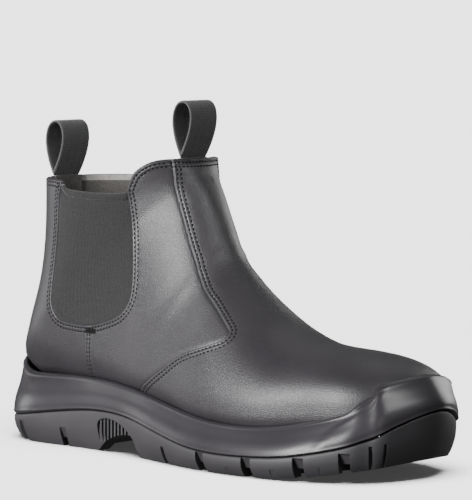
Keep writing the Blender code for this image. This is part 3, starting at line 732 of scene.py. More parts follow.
def waist_hollow(side):
    """The hollow in one side of the waist, with its standing ribs left out of the cutter."""
    line = sole_line(WAIST_HOLLOW, 2)
    middle = edge_at(line[:, 0].mean(), side)[0].y
    floor = middle - side * WAIST_RECESS
    low, high = sorted((floor, side * BEYOND))
    hollow = prism("hollow", line, low, high)
    rib_face = floor + side * RIB_STEP
    x = line[:, 0].min() + RIB_PITCH
    while x < line[:, 0].max() - RIB_PITCH / 2:
        low, high = sorted((floor - side * RIB_STEP, rib_face))
        rib = block("rib", (x - RIB_WIDTH / 2, low, -BEYOND), (x + RIB_WIDTH / 2, high, BEYOND))
        boolean(hollow, rib, "DIFFERENCE")
        x += RIB_PITCH
    return hollow


def teardrop(height, depth, start):
    """A drop outline, pointed at the bottom: depth and height of each point."""
    drop = []
    for k in range(LOOP_POINTS):
        angle = 2 * math.pi * k / LOOP_POINTS
        rise = (1 - math.cos(angle)) / 2
        across = math.sin(angle) * abs(math.sin(angle / 2)) / DROP_WIDEST
        drop.append((across * depth / 2, start + rise * height))
    return drop


def line_distance(places, line):
    """Distance of flat points from a line, above 0 on its left, and the line's normal there."""
    start, step = line[:-1], np.diff(line, axis=0)
    size = (step ** 2).sum(axis=1)
    found, side = np.full(len(places), np.inf), np.zeros(len(places))
    normal = np.zeros((len(places), 2))
    for a, d, s in zip(start, step, size):
        t = np.clip(((places - a) @ d) / s, 0, 1)
        away = places - a - t[:, None] * d
        reach = np.sqrt((away ** 2).sum(axis=1))
        near = reach < found
        found[near] = reach[near]
        left = np.array([-d[1], d[0]]) / math.sqrt(s)
        side[near] = np.sign((places - a)[near] @ left)
        normal[near] = left
    return found * side, normal


def on_surface(places, normals, line):
    """Signed distance from a side view line, measured along the leather."""
    flat, across = line_distance(places[:, [0, 2]], line)
    tilt = across[:, 0] * normals[:, 0] + across[:, 1] * normals[:, 2]
    return flat / np.sqrt(np.maximum(1 - tilt ** 2, LEAST_TILT))


def split(data, faces, column, value):
    """Cuts triangles along one value of a column."""
    v = data[:, column] - value
    v[np.abs(v) < SNAP] = 0.0
    data[v == 0, column] = value
    up = v >= 0
    corners = up[faces]
    mixed = corners.any(axis=1) & ~corners.all(axis=1)
    kept, cut = faces[~mixed], faces[mixed]
    if not len(cut):
        return data, faces
    side = up[cut]
    lone = np.where(side.sum(axis=1) == 1, side.argmax(axis=1), (~side).argmax(axis=1))
    row = np.arange(len(cut))
    a, b, c = cut[row, lone], cut[row, (lone + 1) % 3], cut[row, (lone + 2) % 3]
    pairs = np.sort(np.concatenate([np.stack([a, b], 1), np.stack([a, c], 1)]), axis=1)
    unique, index = np.unique(pairs, axis=0, return_inverse=True)
    index = index.reshape(-1)
    i, j = unique.T
    made = data[i] + (data[j] - data[i]) * (v[i] / (v[i] - v[j]))[:, None]
    made[:, column] = value
    number = len(data) + np.arange(len(unique))
    number = np.where(v[i] == 0, i, np.where(v[j] == 0, j, number))
    p, q = number[index[: len(cut)]], number[index[len(cut):]]
    made_faces = [np.stack(corners, 1) for corners in ((a, p, q), (p, b, c), (p, c, q))]
    faces = np.concatenate([kept, *made_faces])
    whole = (faces != np.roll(faces, 1, axis=1)).all(axis=1)
    return np.concatenate([data, made]), faces[whole]


def fold(distance, rows):
    """Heights at distances from an edge, from a table in millimetres."""
    rows = np.array(rows)
    return np.interp(distance * 1000, rows[:, 0], rows[:, 1]) / 1000


def relief(places):
    """The soft creases and dents of the leather, as heights."""
    height = np.zeros(len(places))
    flat = places[:, [0, 2]]
    for a0, h0, a1, h1, width, depth, side in CREASES:
        start = np.array([last_along(a0), h0 * COLLAR_FRONT_HEIGHT])
        step = np.array([last_along(a1), h1 * COLLAR_FRONT_HEIGHT]) - start
        t = ((flat - start) @ step) / (step @ step)
        away = flat - start - np.clip(t, 0, 1)[:, None] * step
        reach = np.sqrt((away ** 2).sum(axis=1)) / width
        fade = np.clip(1 - np.abs(t - 0.5) * CREASE_FADE, 0, 1)
        on = 1.0 if side == 0 else np.clip(0.5 + side * places[:, 1] / CREASE_SIDE, 0, 1)
        height += depth * np.exp(-reach ** 2) * fade * on
    return height


def free_edge():
    """The leather's free edge from the side: over the back collar, round the gore, over the front."""
    back = [row for row in COLLAR_LINE if row[0] < BACK_CORNER]
    front = [row for row in COLLAR_LINE if row[0] > FRONT_CORNER]
    window = [row for row in GORE_WINDOW if row[1] < WINDOW_TOP]
    return side_line(back + window + front, 5)


def leather_grid():
    """The last's surface as triangles, with each point's distances from the seams."""
    tip, rings = last_rings()
    normals = ring_normals(rings)
    points = np.concatenate([rings.reshape(-1, 3), [tip]])
    normals = np.concatenate([normals.reshape(-1, 3), [[1.0, 0.0, 0.0]]])
    faces = []
    for a, b, c, d in loft_faces(len(rings), AROUND, False):
        faces += [(a, b, c), (a, c, d)]
    faces += [(len(points) - 1, j, (j + 1) % AROUND) for j in range(AROUND)]
    faces = np.array(faces)
    corners = points[faces]
    facing = np.cross(corners[:, 1] - corners[:, 0], corners[:, 2] - corners[:, 0])
    turned = (facing * normals[faces].mean(axis=1)).sum(axis=1) < 0
    faces[turned] = faces[turned][:, ::-1]
    x, y, z = points.T
    gore_top = np.interp(x, *np.array(side_line(COLLAR_LINE, 4)).T)
    strip = np.minimum(STRIP_WIDTH / 2 - np.abs(y), z - STRIP_FOOT * COLLAR_FRONT_HEIGHT)
    data = np.column_stack([
        points, normals,
        on_surface(points, normals, side_line(VAMP_EDGE, 6)),
        -on_surface(points, normals, free_edge()),
        gore_top - z,
        x - last_along(SIDE_SEAM),
        np.where(x < STRIP_FRONT, strip, NO_STRIP),
    ])
    folds = (VAMP, VAMP_FOLD), (EDGE, EDGE_FOLD), (SEAM, SEAM_FOLD), (STRIP, STRIP_FOLD)
    cuts = [(column, row[0]) for column, rows in folds for row in rows]
    for column, place in cuts + [(TOP, place) for place in HEM_CUTS]:
        data, faces = split(data, faces, column, place / 1000)
    data[:, NORMAL] /= np.linalg.norm(data[:, NORMAL], axis=1, keepdims=True)
    return data, faces


def leather_height(data):
    """Height of the leather's face over the last, with its folds and stitch rows."""
    quarter = BACK_LEVEL + fold(data[:, SEAM], SEAM_FOLD)
    height = np.where(data[:, VAMP] > -VAMP_LAP, fold(data[:, VAMP], VAMP_FOLD), quarter)
    height += fold(data[:, EDGE], EDGE_FOLD)
    height += fold(data[:, STRIP], STRIP_FOLD)
    return height + relief(data[:, POSITION])


def new_mesh(name, points, faces, slots, face_slots=None, sharp=None):
    """A piece made from points and faces, smooth, with its materials."""
    used, index = np.unique(np.concatenate([np.array(f) for f in faces]), return_inverse=True)
    flat, made, at = index.reshape(-1), [], 0
    for face in faces:
        made.append(tuple(int(k) for k in flat[at: at + len(face)]))
        at += len(face)
    mesh = bpy.data.meshes.new(name)
    mesh.from_pydata([tuple(map(float, points[k])) for k in used], [], made)
    finish_mesh(mesh, slots, sharp)
    if face_slots is not None:
        mesh.polygons.foreach_set("material_index", np.array(face_slots, np.int32))
    return placed(name, mesh)


def border(faces):
    """Directed edges that only one face has."""
    ends = np.concatenate([faces[:, [0, 1]], faces[:, [1, 2]], faces[:, [2, 0]]])
    keys = np.sort(ends, axis=1)
    _, index, count = np.unique(keys, axis=0, return_inverse=True, return_counts=True)
    return ends[count[index.reshape(-1)] == 1]


def shell(name, data, faces, outer, inner, roll, slots, inside):
    """A closed skin between two heights over the last, its free edges rolled."""
    places, normals = data[:, POSITION], data[:, NORMAL]
    count = len(data)
    top = places + normals * outer[:, None]
    bottom = places + normals * inner[:, None]
    edges = border(faces)
    away = np.zeros_like(places)
    for a, b in edges:
        side = np.cross(places[b] - places[a], normals[a])
        away[a] += side
        away[b] += side
    size = np.linalg.norm(away, axis=1, keepdims=True)
    away = away / np.maximum(size, 1e-9) * roll
    layers = [top + (bottom - top) * t + away * b for t, b in ROLL]
    points = np.concatenate([top, bottom] + layers)
    order = [0, 2, 3, 4, 1]
    made = [tuple(face) for face in faces] + [tuple(face[::-1] + count) for face in faces]
    kinds = [0] * len(faces) + list(inside)
    for a, b in edges:
        for first, second in zip(order[:-1], order[1:]):
            made.append((b + first * count, a + first * count, a + second * count, b + second * count))
            kinds.append(0)
    return new_mesh(name, points, made, slots, kinds)


def strap_tail(name, high, x_side, slots):
    """A strap's end, flat against the leather's inside at the front or the back."""
    rings = last_rings()[1]
    inner = rings + ring_normals(rings) * (INSIDE_LEVEL - GAP)
    tree = surface_tree(inner.reshape(-1, 3), loft_faces(len(rings), AROUND, False))
    low, half, n = high - LOOP_TAIL, STRAP_WIDTH / 2, TAIL_POINTS
    places = []
    for depth in (0.0, TAIL_THICKNESS):
        for i in range(n):
            z = low + (high - low) * i / (n - 1)
            for j in range(n):
                y = -half + 2 * half * j / (n - 1)
                met = tree.ray_cast(Vector((SHAFT_MIDDLE, y, z)), Vector((x_side, 0, 0)))[0]
                places.append((met.x - x_side * depth, y, z))
    count = n * n
    faces = []
    for i in range(n - 1):
        for a in range(i * n, i * n + n - 1):
            quad = (a, a + 1, a + n + 1, a + n)
            faces += [quad, tuple(k + count for k in quad[::-1])]
    rim = list(range(n)) + [i * n + n - 1 for i in range(1, n)]
    rim += [count - 1 - j for j in range(1, n)] + [i * n for i in range(n - 2, 0, -1)]
    faces += [(a, b, b + count, a + count) for a, b in zip(rim, rim[1:] + rim[:1])]
    piece = new_mesh(name, np.array(places), faces, slots, sharp=40)
    face_out(piece.data)
    return piece


def run_along(points):
    """Distances along a row of points from its first."""
    return np.concatenate([[0], np.cumsum(np.linalg.norm(np.diff(points, axis=0), axis=1))])


def webbing_loop(name, x, z, slots):
    """The strap above the collar: a folded drop with thin woven edges."""
    half = STRAP_WIDTH / 2
    outer = np.array(teardrop(LOOP_HEIGHT, LOOP_DEPTH, 0.0))
    inner = np.array(teardrop(
        LOOP_HEIGHT - STRAP_THICKNESS - LOOP_SPLIT, LOOP_DEPTH - 2 * STRAP_THICKNESS, LOOP_SPLIT))
    run = run_along(outer)
    middle = (outer + inner) / 2
    points, maps = [], []
    for side in (outer, inner):
        for across, thick in STRAP_PROFILE:
            for (reach, rise), length in zip(middle + (side - middle) * thick, run):
                points.append((x + reach + LOOP_LEAN * rise / LOOP_HEIGHT, across * half, z + rise))
                maps.append((length, across * half, 0.0))
    n, m = LOOP_POINTS, len(STRAP_PROFILE)
    faces = []
    for k in range(n):
        k2 = (k + 1) % n
        for j in range(m - 1):
            a, b = j * n, (j + 1) * n
            faces.append((a + k, a + k2, b + k2, b + k))
            c, d = (m + j) * n, (m + j + 1) * n
            faces.append((c + k, d + k, d + k2, c + k2))
        for j in (0, m - 1):
            faces.append((j * n + k, (m + j) * n + k, (m + j) * n + k2, j * n + k2))
    piece = new_mesh(name, np.array(points), faces, slots, sharp=50)
    face_out(piece.data)
    weave = piece.data.attributes.new("weave", "FLOAT_VECTOR", "POINT")
    weave.data.foreach_set("vector", np.array(maps, np.float32).reshape(-1))
    return piece


def stitch_shape():
    """One stitch, lying along X, a little proud of the leather."""
    points = []
    for along, size in STITCH_RINGS:
        for k in range(STITCH_SIDES):
            angle = 2 * math.pi * k / STITCH_SIDES
            points.append((along * STITCH_LENGTH, math.cos(angle) * size * STITCH_WIDTH / 2,
                           math.sin(angle) * size * STITCH_WIDTH * STITCH_RISE))
    faces = loft_faces(len(STITCH_RINGS), STITCH_SIDES, False)
    last = len(points) - 1
    faces += [tuple(range(STITCH_SIDES)), tuple(range(last, last - STITCH_SIDES, -1))]
    return np.array(points), faces


def on_skin(skin, place, normal):
    """The folded leather's point over a place on the last, or None."""
    return skin.ray_cast(place + normal * SKIN_START, -normal, SKIN_REACH)[0]


def surface_rows(base, skin, line, shift, side):
    """Points and normals along a side view line, moved sideways and set on the folded leather."""
    found = []
    for k, (x, z) in enumerate(line):
        place, normal, _, _ = base.ray_cast(Vector((x, side * SIDE_START, z)), Vector((0, -side, 0)))
        if place is None or abs(normal.y) < TANGENT:
            continue
        before, after = line[max(k - 1, 0)], line[min(k + 1, len(line) - 1)]
        along = Vector((after[0] - before[0], 0, after[1] - before[1]))
        along = (along - normal * along.dot(normal)).normalized()
        left = normal.cross(along) * -side
        moved, facing, _, _ = base.find_nearest(place + left * shift)
        met = on_skin(skin, moved, facing)
        if met is not None:
            found.append((met, facing))
    return found


def round_rows(base, skin, start, end, facing):
    """Points and normals across the front or the back, from one side's row to the other's."""
    found = []
    for share in np.linspace(0, 1, ROUND_POINTS):
        level = start.lerp(end, share)
        inside = Vector((SHAFT_MIDDLE, level.y, level.z))
        place, normal, _, _ = base.ray_cast(inside, Vector((facing, 0, 0)))
        met = on_skin(skin, place, normal)
        if met is not None:
            found.append((met, normal))
    return found


def even_rows(found, pitch):
    """Places, directions and normals at an even pitch along a row of points."""
    places = np.array([p for p, _ in found])
    normals = np.array([n for _, n in found])
    run = run_along(places)
    stops = np.arange(pitch / 2, run[-1], pitch)

    def values_at(values, stops):
        return np.column_stack([np.interp(stops, run, values[:, k]) for k in range(3)])

    spots, ahead = values_at(places, stops), values_at(places, stops + pitch / 3)
    return list(zip(spots, ahead - spots, values_at(normals, stops)))


def stitches(name, rows, slots):
    """All the stitches of some rows as one piece."""
    shape, faces = stitch_shape()
    points, made = [], []
    for spot, ahead, normal in rows:
        normal = normal / np.linalg.norm(normal)
        ahead = ahead - normal * (ahead @ normal)
        size = np.linalg.norm(ahead)
        if size < 1e-7:
            continue
        ahead = ahead / size
        across = np.cross(normal, ahead)
        base = len(points)
        for a, b, c in shape:
            points.append(spot + ahead * a + across * b + normal * c)
        made += [tuple(k + base for k in face) for face in faces]
    return new_mesh(name, np.array(points), made, slots)


def bead(rise, step, middle, width):
    return step * math.exp(-((rise - middle) / width) ** 2)


def midsole_piece(slots):
    """The midsole's side from the parting up to its lip, and down its inside."""
    points, normals, _, parting, rim = sole_edge()
    insets = evened(rim_insets(points, normals, rim))
    edge = sole_line(BUMPER_EDGE, 6)
    levels = [ring_at(points, normals, inset * EDGE_INSET, parting) for inset in (3, 1)]
    for rise, share, bulge, proud in smooth(MIDSOLE_SIDE, 4):
        heights = parting + (rim - parting) * rise
        flat = ring_at(points, normals, insets * share - bulge * LIP, heights)
        far, _ = line_distance(flat[:, [0, 2]], edge)
        bumped = np.clip(-far / BUMPER_BLEND + 0.5, 0, 1)
        bumped = bumped * bumped * (3 - 2 * bumped)
        out = bulge * LIP + proud * BUMPER_STEP * bumped
        mark = MARK_DEPTH * np.exp(-((flat[:, 1] - TOE_TURN) / MARK_WIDTH) ** 2)
        mark *= (flat[:, 0] > MARK_BACK) * (MARK_RISES[0] < rise < MARK_RISES[1])
        out = out + bead(rise, *LIP_BEAD) + bead(rise, *FOOT_BEAD) + mark
        levels.append(ring_at(points, normals, insets * share - out, heights))
    for inward, rise in RIM_ROUND:
        levels.append(ring_at(points, normals, insets + inward, rim + rise))
    bottom = np.maximum(parting + CUP_FLOOR, rim - CUP_DEPTH)
    levels.append(ring_at(points, normals, insets + CUP_INWARD, bottom))
    rings = np.array(levels)
    count, around = rings.shape[:2]
    faces = []
    for i in range(count):
        for j in range(around):
            # The last ring joins the first underneath.
            k, m = (j + 1) % around, (i + 1) % count
            faces.append((i * around + j, i * around + k, m * around + k, m * around + j))
    piece = new_mesh("midsole_side", rings.reshape(-1, 3), faces, slots, sharp=60)
    face_out(piece.data)
    return piece


def outsole_piece(slots):
    """The outsole with rounder edges than the solid's, its grooves, ribs and lugs."""
    points, normals, tread, parting, _ = sole_edge()
    top = parting - GAP
    levels = [ring_at(points, normals, EDGE_INSET, top)]
    for share in (0.35, 0.7, 1.0):
        inset = EDGE_INSET * (1 - share) ** 2
        levels.append(ring_at(points, normals, inset, top - EDGE_ROUND * share))
    for fall, share in smooth(OUTSOLE_SIDE, 3):
        heights = top - EDGE_ROUND + (tread - top + EDGE_ROUND) * fall
        levels.append(ring_at(points, normals, share * TREAD_INSET, heights))
    outsole = outline_solid("outsole_tread", levels)
    boolean(outsole, prism("arch", sole_line(WAIST_ARCH, 4), -BEYOND, BEYOND), "DIFFERENCE")
    breast, ball = sole_along(WAIST_ARCH[1][0]), sole_along(WAIST_ARCH[-2][0])
    boolean(outsole, tread_recess("heel_recess", -BEYOND, breast + TREAD_DEPTH), "DIFFERENCE")
    boolean(outsole, tread_recess("ball_recess", ball + LUG_REACH, BEYOND), "DIFFERENCE", "MANIFOLD")
    for side in (-1, 1):
        boolean(outsole, waist_hollow(side), "DIFFERENCE")
        for along, width, height, reach in SIDE_GROOVES:
            boolean(outsole, groove(sole_along(along), side, width, height, reach), "DIFFERENCE")
    finish_mesh(outsole.data, slots, 34)
    return outsole


def insole_piece(slots):
    """The insole's cloth, inside the last's underside."""
    insole = make_object("insole_cloth", *last_surface(INSIDE_LEVEL - GAP))
    rise = INSOLE_THICKNESS + GAP - INSIDE_LEVEL
    places = np.linspace(last_along(0.08), last_along(0.96), 40)
    top = list(zip(places, under_heights(places) + rise))
    ends = [(BEYOND, top[-1][1]), (BEYOND, -BEYOND), (-BEYOND, -BEYOND), (-BEYOND, top[0][1])]
    boolean(insole, prism("insole_part", top + ends, -BEYOND, BEYOND), "INTERSECT")
    finish_mesh(insole.data, slots, 40)
    return insole


class Nodes:
    """Builds one material's nodes with short calls."""

    def __init__(self, name):
        self.material = bpy.data.materials.new(name)
        self.material.use_nodes = True
        self.tree = self.material.node_tree
        self.shader = self.tree.nodes["Principled BSDF"]

    def add(self, kind, settings=(), **inputs):
        node = self.tree.nodes.new(kind)
        for key, value in dict(settings).items():
            setattr(node, key, value)
        for key, value in inputs.items():
            self.join(value, node.inputs[int(key[1:])] if key[0] == "_" else node.inputs[key])
        return node

    def join(self, value, socket):
        if isinstance(value, bpy.types.NodeSocket):
            self.tree.links.new(value, socket)
        else:
            socket.default_value = value

    def place(self, scale=(1, 1, 1)):
        at = self.add("ShaderNodeTexCoord").outputs["Object"]
        return self.add("ShaderNodeVectorMath", {"operation": "MULTIPLY"}, _0=at, _1=scale).outputs[0]

    def noise(self, at, scale, detail=3.0, rough=0.55):
        return self.add("ShaderNodeTexNoise", _0=at, Scale=scale, Detail=detail, Roughness=rough).outputs[0]

    def cells(self, at, scale):
        settings = {"feature": "DISTANCE_TO_EDGE"}
        return self.add("ShaderNodeTexVoronoi", settings, _0=at, Scale=scale).outputs[0]

    def maths(self, operation, a, b=0.0, c=0.0):
        return self.add("ShaderNodeMath", {"operation": operation}, _0=a, _1=b, _2=c).outputs[0]

    def plus(self, a, b):
        return self.maths("ADD", a, b)

    def times(self, a, b):
        return self.maths("MULTIPLY", a, b)

    def waves(self, along, pitch):
        return self.maths("SINE", self.times(along, 2 * math.pi / pitch))

    def span(self, value, low=0.3, high=0.7, to_low=0.0, to_high=1.0):
        node = self.add("ShaderNodeMapRange", _0=value, _1=low, _2=high, _3=to_low, _4=to_high)
        return node.outputs[0]

    def mix(self, factor, a, b):
        settings = {"data_type": "RGBA"}
        return self.add("ShaderNodeMix", settings, _0=factor, _6=(*a, 1.0), _7=(*b, 1.0)).outputs[2]

    def bump(self, height, strength, distance, normal=None):
        node = self.add("ShaderNodeBump", Strength=strength, Distance=distance, Height=height)
        if normal is not None:
            self.join(normal, node.inputs["Normal"])
        return node.outputs[0]

    def finish(self, colour, rough, normal=None, **values):
        """Sets the shader. A value is named after its socket, with _ for a space."""
        values.update(Base_Color=colour, Roughness=rough)
        if normal is not None:
            values["Normal"] = normal
        for key, value in values.items():
            self.join(value, self.shader.inputs[key.replace("_", " ")])
        return self.material


def leather_material():
    n = Nodes("leather_black")
    at = n.place()
    fine, broad = n.noise(at, 2600.0, 2.0), n.noise(at, 24.0)
    pores = n.span(n.cells(at, 900.0), 0.0, 0.25)
    height = n.plus(n.times(pores, 0.7), n.times(fine, 0.6))
    colour = n.mix(n.span(broad), (0.024, 0.022, 0.025), (0.034, 0.031, 0.035))
    rough = n.plus(n.span(broad, to_low=0.36, to_high=0.42), n.times(fine, 0.06))
    return n.finish(colour, rough, n.bump(height, 0.45, 0.00018),
                    Specular_IOR_Level=0.55, Coat_Weight=0.12, Coat_Roughness=0.42)


def fuzzy_material(name, scale, detail_rough, dark, light, rough, strength, distance, **values):
    """Cloth or cut leather, mottled by one fine noise."""
    n = Nodes(name)
    fuzz = n.noise(n.place(), scale, 4.0, detail_rough)
    return n.finish(n.mix(n.span(fuzz), dark, light), rough, n.bump(fuzz, strength, distance), **values)


def lining_material():
    return fuzzy_material("lining_cloth", 1500.0, 0.7, (0.035, 0.033, 0.031), (0.12, 0.112, 0.105),
                          0.95, 0.8, 0.0004, Sheen_Weight=0.25, Sheen_Roughness=0.5)


def binding_material():
    """The pale cut edge of the lining leather, folded over inside the collar."""
    return fuzzy_material("collar_binding", 500.0, 0.65, (0.22, 0.21, 0.20), (0.38, 0.36, 0.345),
                          0.75, 0.5, 0.0003)


def elastic_material():
    n = Nodes("gore_elastic")
    parts = n.add("ShaderNodeSeparateXYZ", _0=n.place())
    ribs, picks = n.waves(parts.outputs[0], 0.0011), n.waves(parts.outputs[2], 0.0008)
    speckle = n.noise(n.place((1.0, 1.0, 0.45)), 1700.0, 3.0, 0.6)
    weave = n.plus(n.times(ribs, 0.3), n.times(picks, 0.25))
    height = n.plus(weave, n.times(speckle, 0.9))
    tone = n.span(n.plus(n.times(weave, 0.35), speckle), 0.25, 0.85)
    colour = n.mix(tone, (0.005, 0.005, 0.005), (0.026, 0.026, 0.027))
    return n.finish(colour, 0.9, n.bump(height, 0.5, 0.0002), Sheen_Weight=0.15, Sheen_Roughness=0.5)


def webbing_material():
    """Herringbone webbing, drawn along and across the strap."""
    n = Nodes("webbing_loop")
    at = n.add("ShaderNodeAttribute", {"attribute_name": "weave"}).outputs["Vector"]
    along, across, _ = n.add("ShaderNodeSeparateXYZ", _0=at).outputs
    twill = n.waves(n.plus(along, n.maths("PINGPONG", across, 0.0028)), 0.0016)
    height = n.plus(n.times(twill, 0.5), n.noise(n.place(), 2200.0, 2.0))
    colour = n.mix(n.span(height, -0.2, 1.1), (0.016, 0.016, 0.016), (0.105, 0.105, 0.107))
    return n.finish(colour, 0.88, n.bump(height, 0.6, 0.00025), Sheen_Weight=0.12, Sheen_Roughness=0.5)


def thread_material():
    n = Nodes("stitch_thread")
    twist = n.noise(n.place(), 3000.0, 2.0)
    colour = n.mix(twist, (0.002, 0.002, 0.002), (0.008, 0.008, 0.008))
    return n.finish(colour, 0.8, n.bump(twist, 0.3, 0.00005), Specular_IOR_Level=0.2)


def rubber_material(name, dark, light, rough, fine):
    n = Nodes(name)
    at = n.place()
    skin, broad = n.noise(at, 1800.0), n.noise(at, 30.0)
    colour = n.mix(n.span(broad), dark, light)
    mottle = n.span(broad, to_low=rough - 0.03, to_high=rough + 0.03)
    rounded = n.add("ShaderNodeBevel", {"samples": 4}, Radius=0.0006).outputs[0]
    normal = n.bump(skin, fine, 0.00008, rounded)
    return n.finish(colour, n.plus(mottle, n.times(skin, 0.05)), normal, Specular_IOR_Level=0.45)


def stage_material(name, scale, dark, light, glow):
    """A plain surface that glows a little and has no shine."""
    n = Nodes(name)
    colour = n.mix(n.noise(n.place(), scale, 2.0), (dark,) * 3, (light,) * 3)
    return n.finish(colour, 0.9, Emission_Color=(1.0, 1.0, 1.0, 1.0), Emission_Strength=glow,
                    Specular_IOR_Level=0.0)


def aim(obj, target):
    obj.rotation_euler = (target - obj.location).to_track_quat("-Z", "Y").to_euler()


def around_boot(azimuth, elevation, distance):
    flat = math.cos(elevation)
    turn = Vector((math.sin(azimuth) * flat, -math.cos(azimuth) * flat, math.sin(elevation)))
    return CAMERA_TARGET + turn * distance


def make_camera():
    data = bpy.data.cameras.new("camera")
    data.lens, data.sensor_width = CAMERA_LENS, SENSOR
    data.clip_start, data.clip_end = CLIPS
    camera = placed("camera", data)
    camera.location = around_boot(CAMERA_AZIMUTH, CAMERA_ELEVATION, CAMERA_DISTANCE)
    aim(camera, CAMERA_TARGET)
    bpy.context.scene.camera = camera


def make_studio():
    """A plain floor and backdrop, soft boxes that light only the boot, and a sun only for the floor."""
    apart = bpy.data.collections.new("not_the_floor")
    for name, azimuth, elevation, distance, width, height, power, shines in LIGHTS:
        data = bpy.data.lights.new(name, "AREA")
        data.shape, data.size, data.size_y, data.energy = "RECTANGLE", width, height, power
        light = placed(name, data)
        light.visible_camera, light.visible_glossy = False, shines
        light.light_linking.receiver_collection = apart
        light.location = around_boot(math.radians(azimuth), math.radians(elevation), distance)
        aim(light, CAMERA_TARGET)
    world = bpy.data.worlds.new("studio")
    world.use_nodes = True
    colour, strength = world.node_tree.nodes["Background"].inputs[:2]
    colour.default_value, strength.default_value = (1.0, 1.0, 1.0, 1.0), WORLD_GLOW
    bpy.context.scene.world = world
    bpy.ops.mesh.primitive_plane_add(size=FLOOR_SIZE, location=(0, 0, 0))
    floor = bpy.context.object
    floor.name = "floor"
    floor.data.materials.append(stage_material("plain_floor", 3.0, 0.80, 0.81, FLOOR_GLOW))
    bpy.ops.mesh.primitive_uv_sphere_add(segments=64, ring_count=32, radius=BACKDROP_RADIUS)
    backdrop = bpy.context.object
    backdrop.name = "backdrop"
    backdrop.data.materials.append(stage_material("plain_backdrop", 0.002, 0.0, 0.01, BACKDROP_GLOW))
    backdrop.visible_shadow = False
    for obj in (floor, backdrop):
        obj.visible_diffuse = obj.visible_glossy = False
    # A wide sun that only the floor receives, so that it turns pale and keeps a soft shadow.
    data = bpy.data.lights.new("floor_sun", "SUN")
    data.energy, data.angle = SUN_POWER, SUN_SPREAD
    sun = placed("floor_sun", data)
    sun.rotation_euler = SUN_TURN
    lit = bpy.data.collections.new("floor_only")
    lit.objects.link(floor)
    sun.light_linking.receiver_collection = lit
    apart.objects.link(floor)
    apart.collection_objects[0].light_linking.link_state = "EXCLUDE"


def collar_height(front):
    return COLLAR_LINE[-1 if front else 0][1] * COLLAR_FRONT_HEIGHT


def collar_inside(front, rings):
    level = collar_height(front)
    line = rings[TOE_RINGS + BODY_RINGS // 2:, 0 if front else AROUND // 2]
    order = np.argsort(line[:, 2])
    x = float(np.interp(level, line[order, 2], line[order, 0]))
    depth = INSIDE_LEVEL - GAP - STRAP_THICKNESS
    return x + (depth if front else -depth)


def hand_in(piece, node=None):
    """Fixes a piece to the boot and hides the solid it stands for."""
    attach(piece, "root")
    if node:
        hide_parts(node)


def dress_upper(data, faces, lining):
    """The leather and the two gores. Gives back the heights of the leather's face, and its faces."""
    leather, elastic, binding = leather_material(), elastic_material(), binding_material()
    middle = data[faces].mean(axis=1)
    is_leather = middle[:, EDGE] > 0
    is_gore = ~is_leather & (middle[:, TOP] > 0)
    is_gore &= middle[:, 2] < COLLAR_FRONT_HEIGHT * GORE_CEILING
    is_gore &= (middle[:, 0] > last_along(GORE_SPAN[0])) & (middle[:, 0] < last_along(GORE_SPAN[1]))
    outer, inner = leather_height(data), np.full(len(data), INSIDE_LEVEL)
    # The inside's material: 1 is the lining, 2 the binding along the collar.
    edge = middle[is_leather]
    bound = (edge[:, EDGE] < BINDING_WIDTH) & (edge[:, 2] > BINDING_FLOOR * COLLAR_FRONT_HEIGHT)
    hull = shell("leather_upper", data, faces[is_leather], outer, inner, LEATHER_ROLL,
                 (leather, lining, binding), np.where(bound, 2, 1))
    hand_in(hull, "upper")
    cloth_face = BACK_LEVEL - 2 * GORE_RECESS + fold(data[:, TOP], HEM_FOLD)
    for name, side in (("gore_outer", -1), ("gore_inner", 1)):
        chosen = faces[is_gore & (middle[:, 1] * side > 0)]
        bound = data[chosen].mean(axis=1)[:, TOP] < BINDING_WIDTH
        panel = shell(name + "_cloth", data, chosen, cloth_face, inner, CLOTH_ROLL,
                      (elastic, lining, binding), np.where(bound, 2, 1))
        hand_in(panel, name)
    return outer, faces[is_leather]


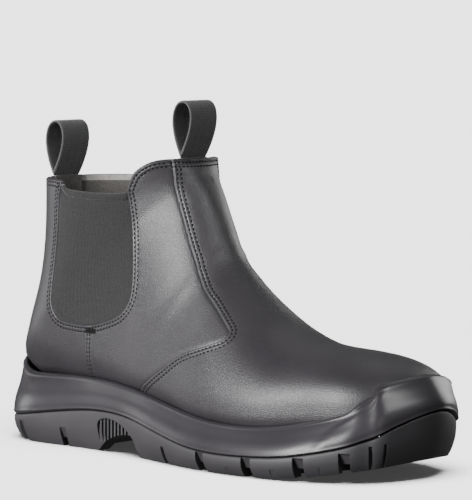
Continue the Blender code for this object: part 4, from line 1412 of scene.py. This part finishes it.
def sew(data, faces, outer, leather_faces):
    """The rows along the leather's free edge, the vamp and the side seams, and the bartacks."""
    skin = surface_tree(data[:, POSITION] + data[:, NORMAL] * outer[:, None], leather_faces)
    base = surface_tree(data[:, POSITION], faces)
    vamp, edge = side_line(VAMP_EDGE, 12), free_edge()
    seam = last_along(SIDE_SEAM)
    foot = np.array([(seam, z) for z in np.linspace(*SEAM_ENDS, 60)])
    rows = []
    for shift in STITCH_ROWS:
        around = [surface_rows(base, skin, edge, -shift / 1000, side) for side in (-1, 1)]
        around.append(round_rows(base, skin, around[0][-1][0], around[1][-1][0], 1))
        around.append(round_rows(base, skin, around[0][0][0], around[1][0][0], -1))
        around += [surface_rows(base, skin, vamp, shift / 1000, side) for side in (-1, 1)]
        rows += [stitch for found in around for stitch in even_rows(found, STITCH_PITCH)]
    low_edge = edge[np.abs(edge[:, 0] - seam) < BARTACK_REACH][:, 1].min()
    across = np.linspace(seam - BARTACK_BACK, seam + BARTACK_LENGTH, 12)
    for side in (-1, 1):
        for shift in SEAM_ROWS:
            rows += even_rows(surface_rows(base, skin, foot, shift / 1000, side), STITCH_PITCH)
        for drop in BARTACK_DROPS:
            tack = np.array([(x, low_edge - drop / 1000) for x in across])
            rows += even_rows(surface_rows(base, skin, tack, 0.0, side), STITCH_LENGTH)
    hand_in(stitches("seam_stitches", rows, (thread_material(),)))


def dress_sole(lining):
    foam = rubber_material("midsole_foam", (0.026, 0.024, 0.027), (0.033, 0.030, 0.035), 0.32, 0.25)
    hand_in(midsole_piece((foam,)), "midsole")
    rubber = rubber_material("outsole_rubber", (0.034, 0.032, 0.035), (0.044, 0.041, 0.045), 0.52, 0.35)
    hand_in(outsole_piece((rubber,)), "outsole")
    hand_in(insole_piece((lining,)), "insole")


def dress_loops(lining):
    rings = last_rings()[1]
    strap = webbing_material()
    for name, front in (("pull_loop_front", True), ("pull_loop_back", False)):
        x, z = collar_inside(front, rings), collar_height(front) + GAP
        hand_in(webbing_loop(name + "_strap", x, z, (strap,)), name)
        hand_in(strap_tail(name + "_tail", z, 1 if front else -1, (lining,)))


def dress():
    data, faces = leather_grid()
    lining = lining_material()
    outer, leather_faces = dress_upper(data, faces, lining)
    sew(data, faces, outer, leather_faces)
    dress_sole(lining)
    dress_loops(lining)


make_camera()
make_studio()
dress()
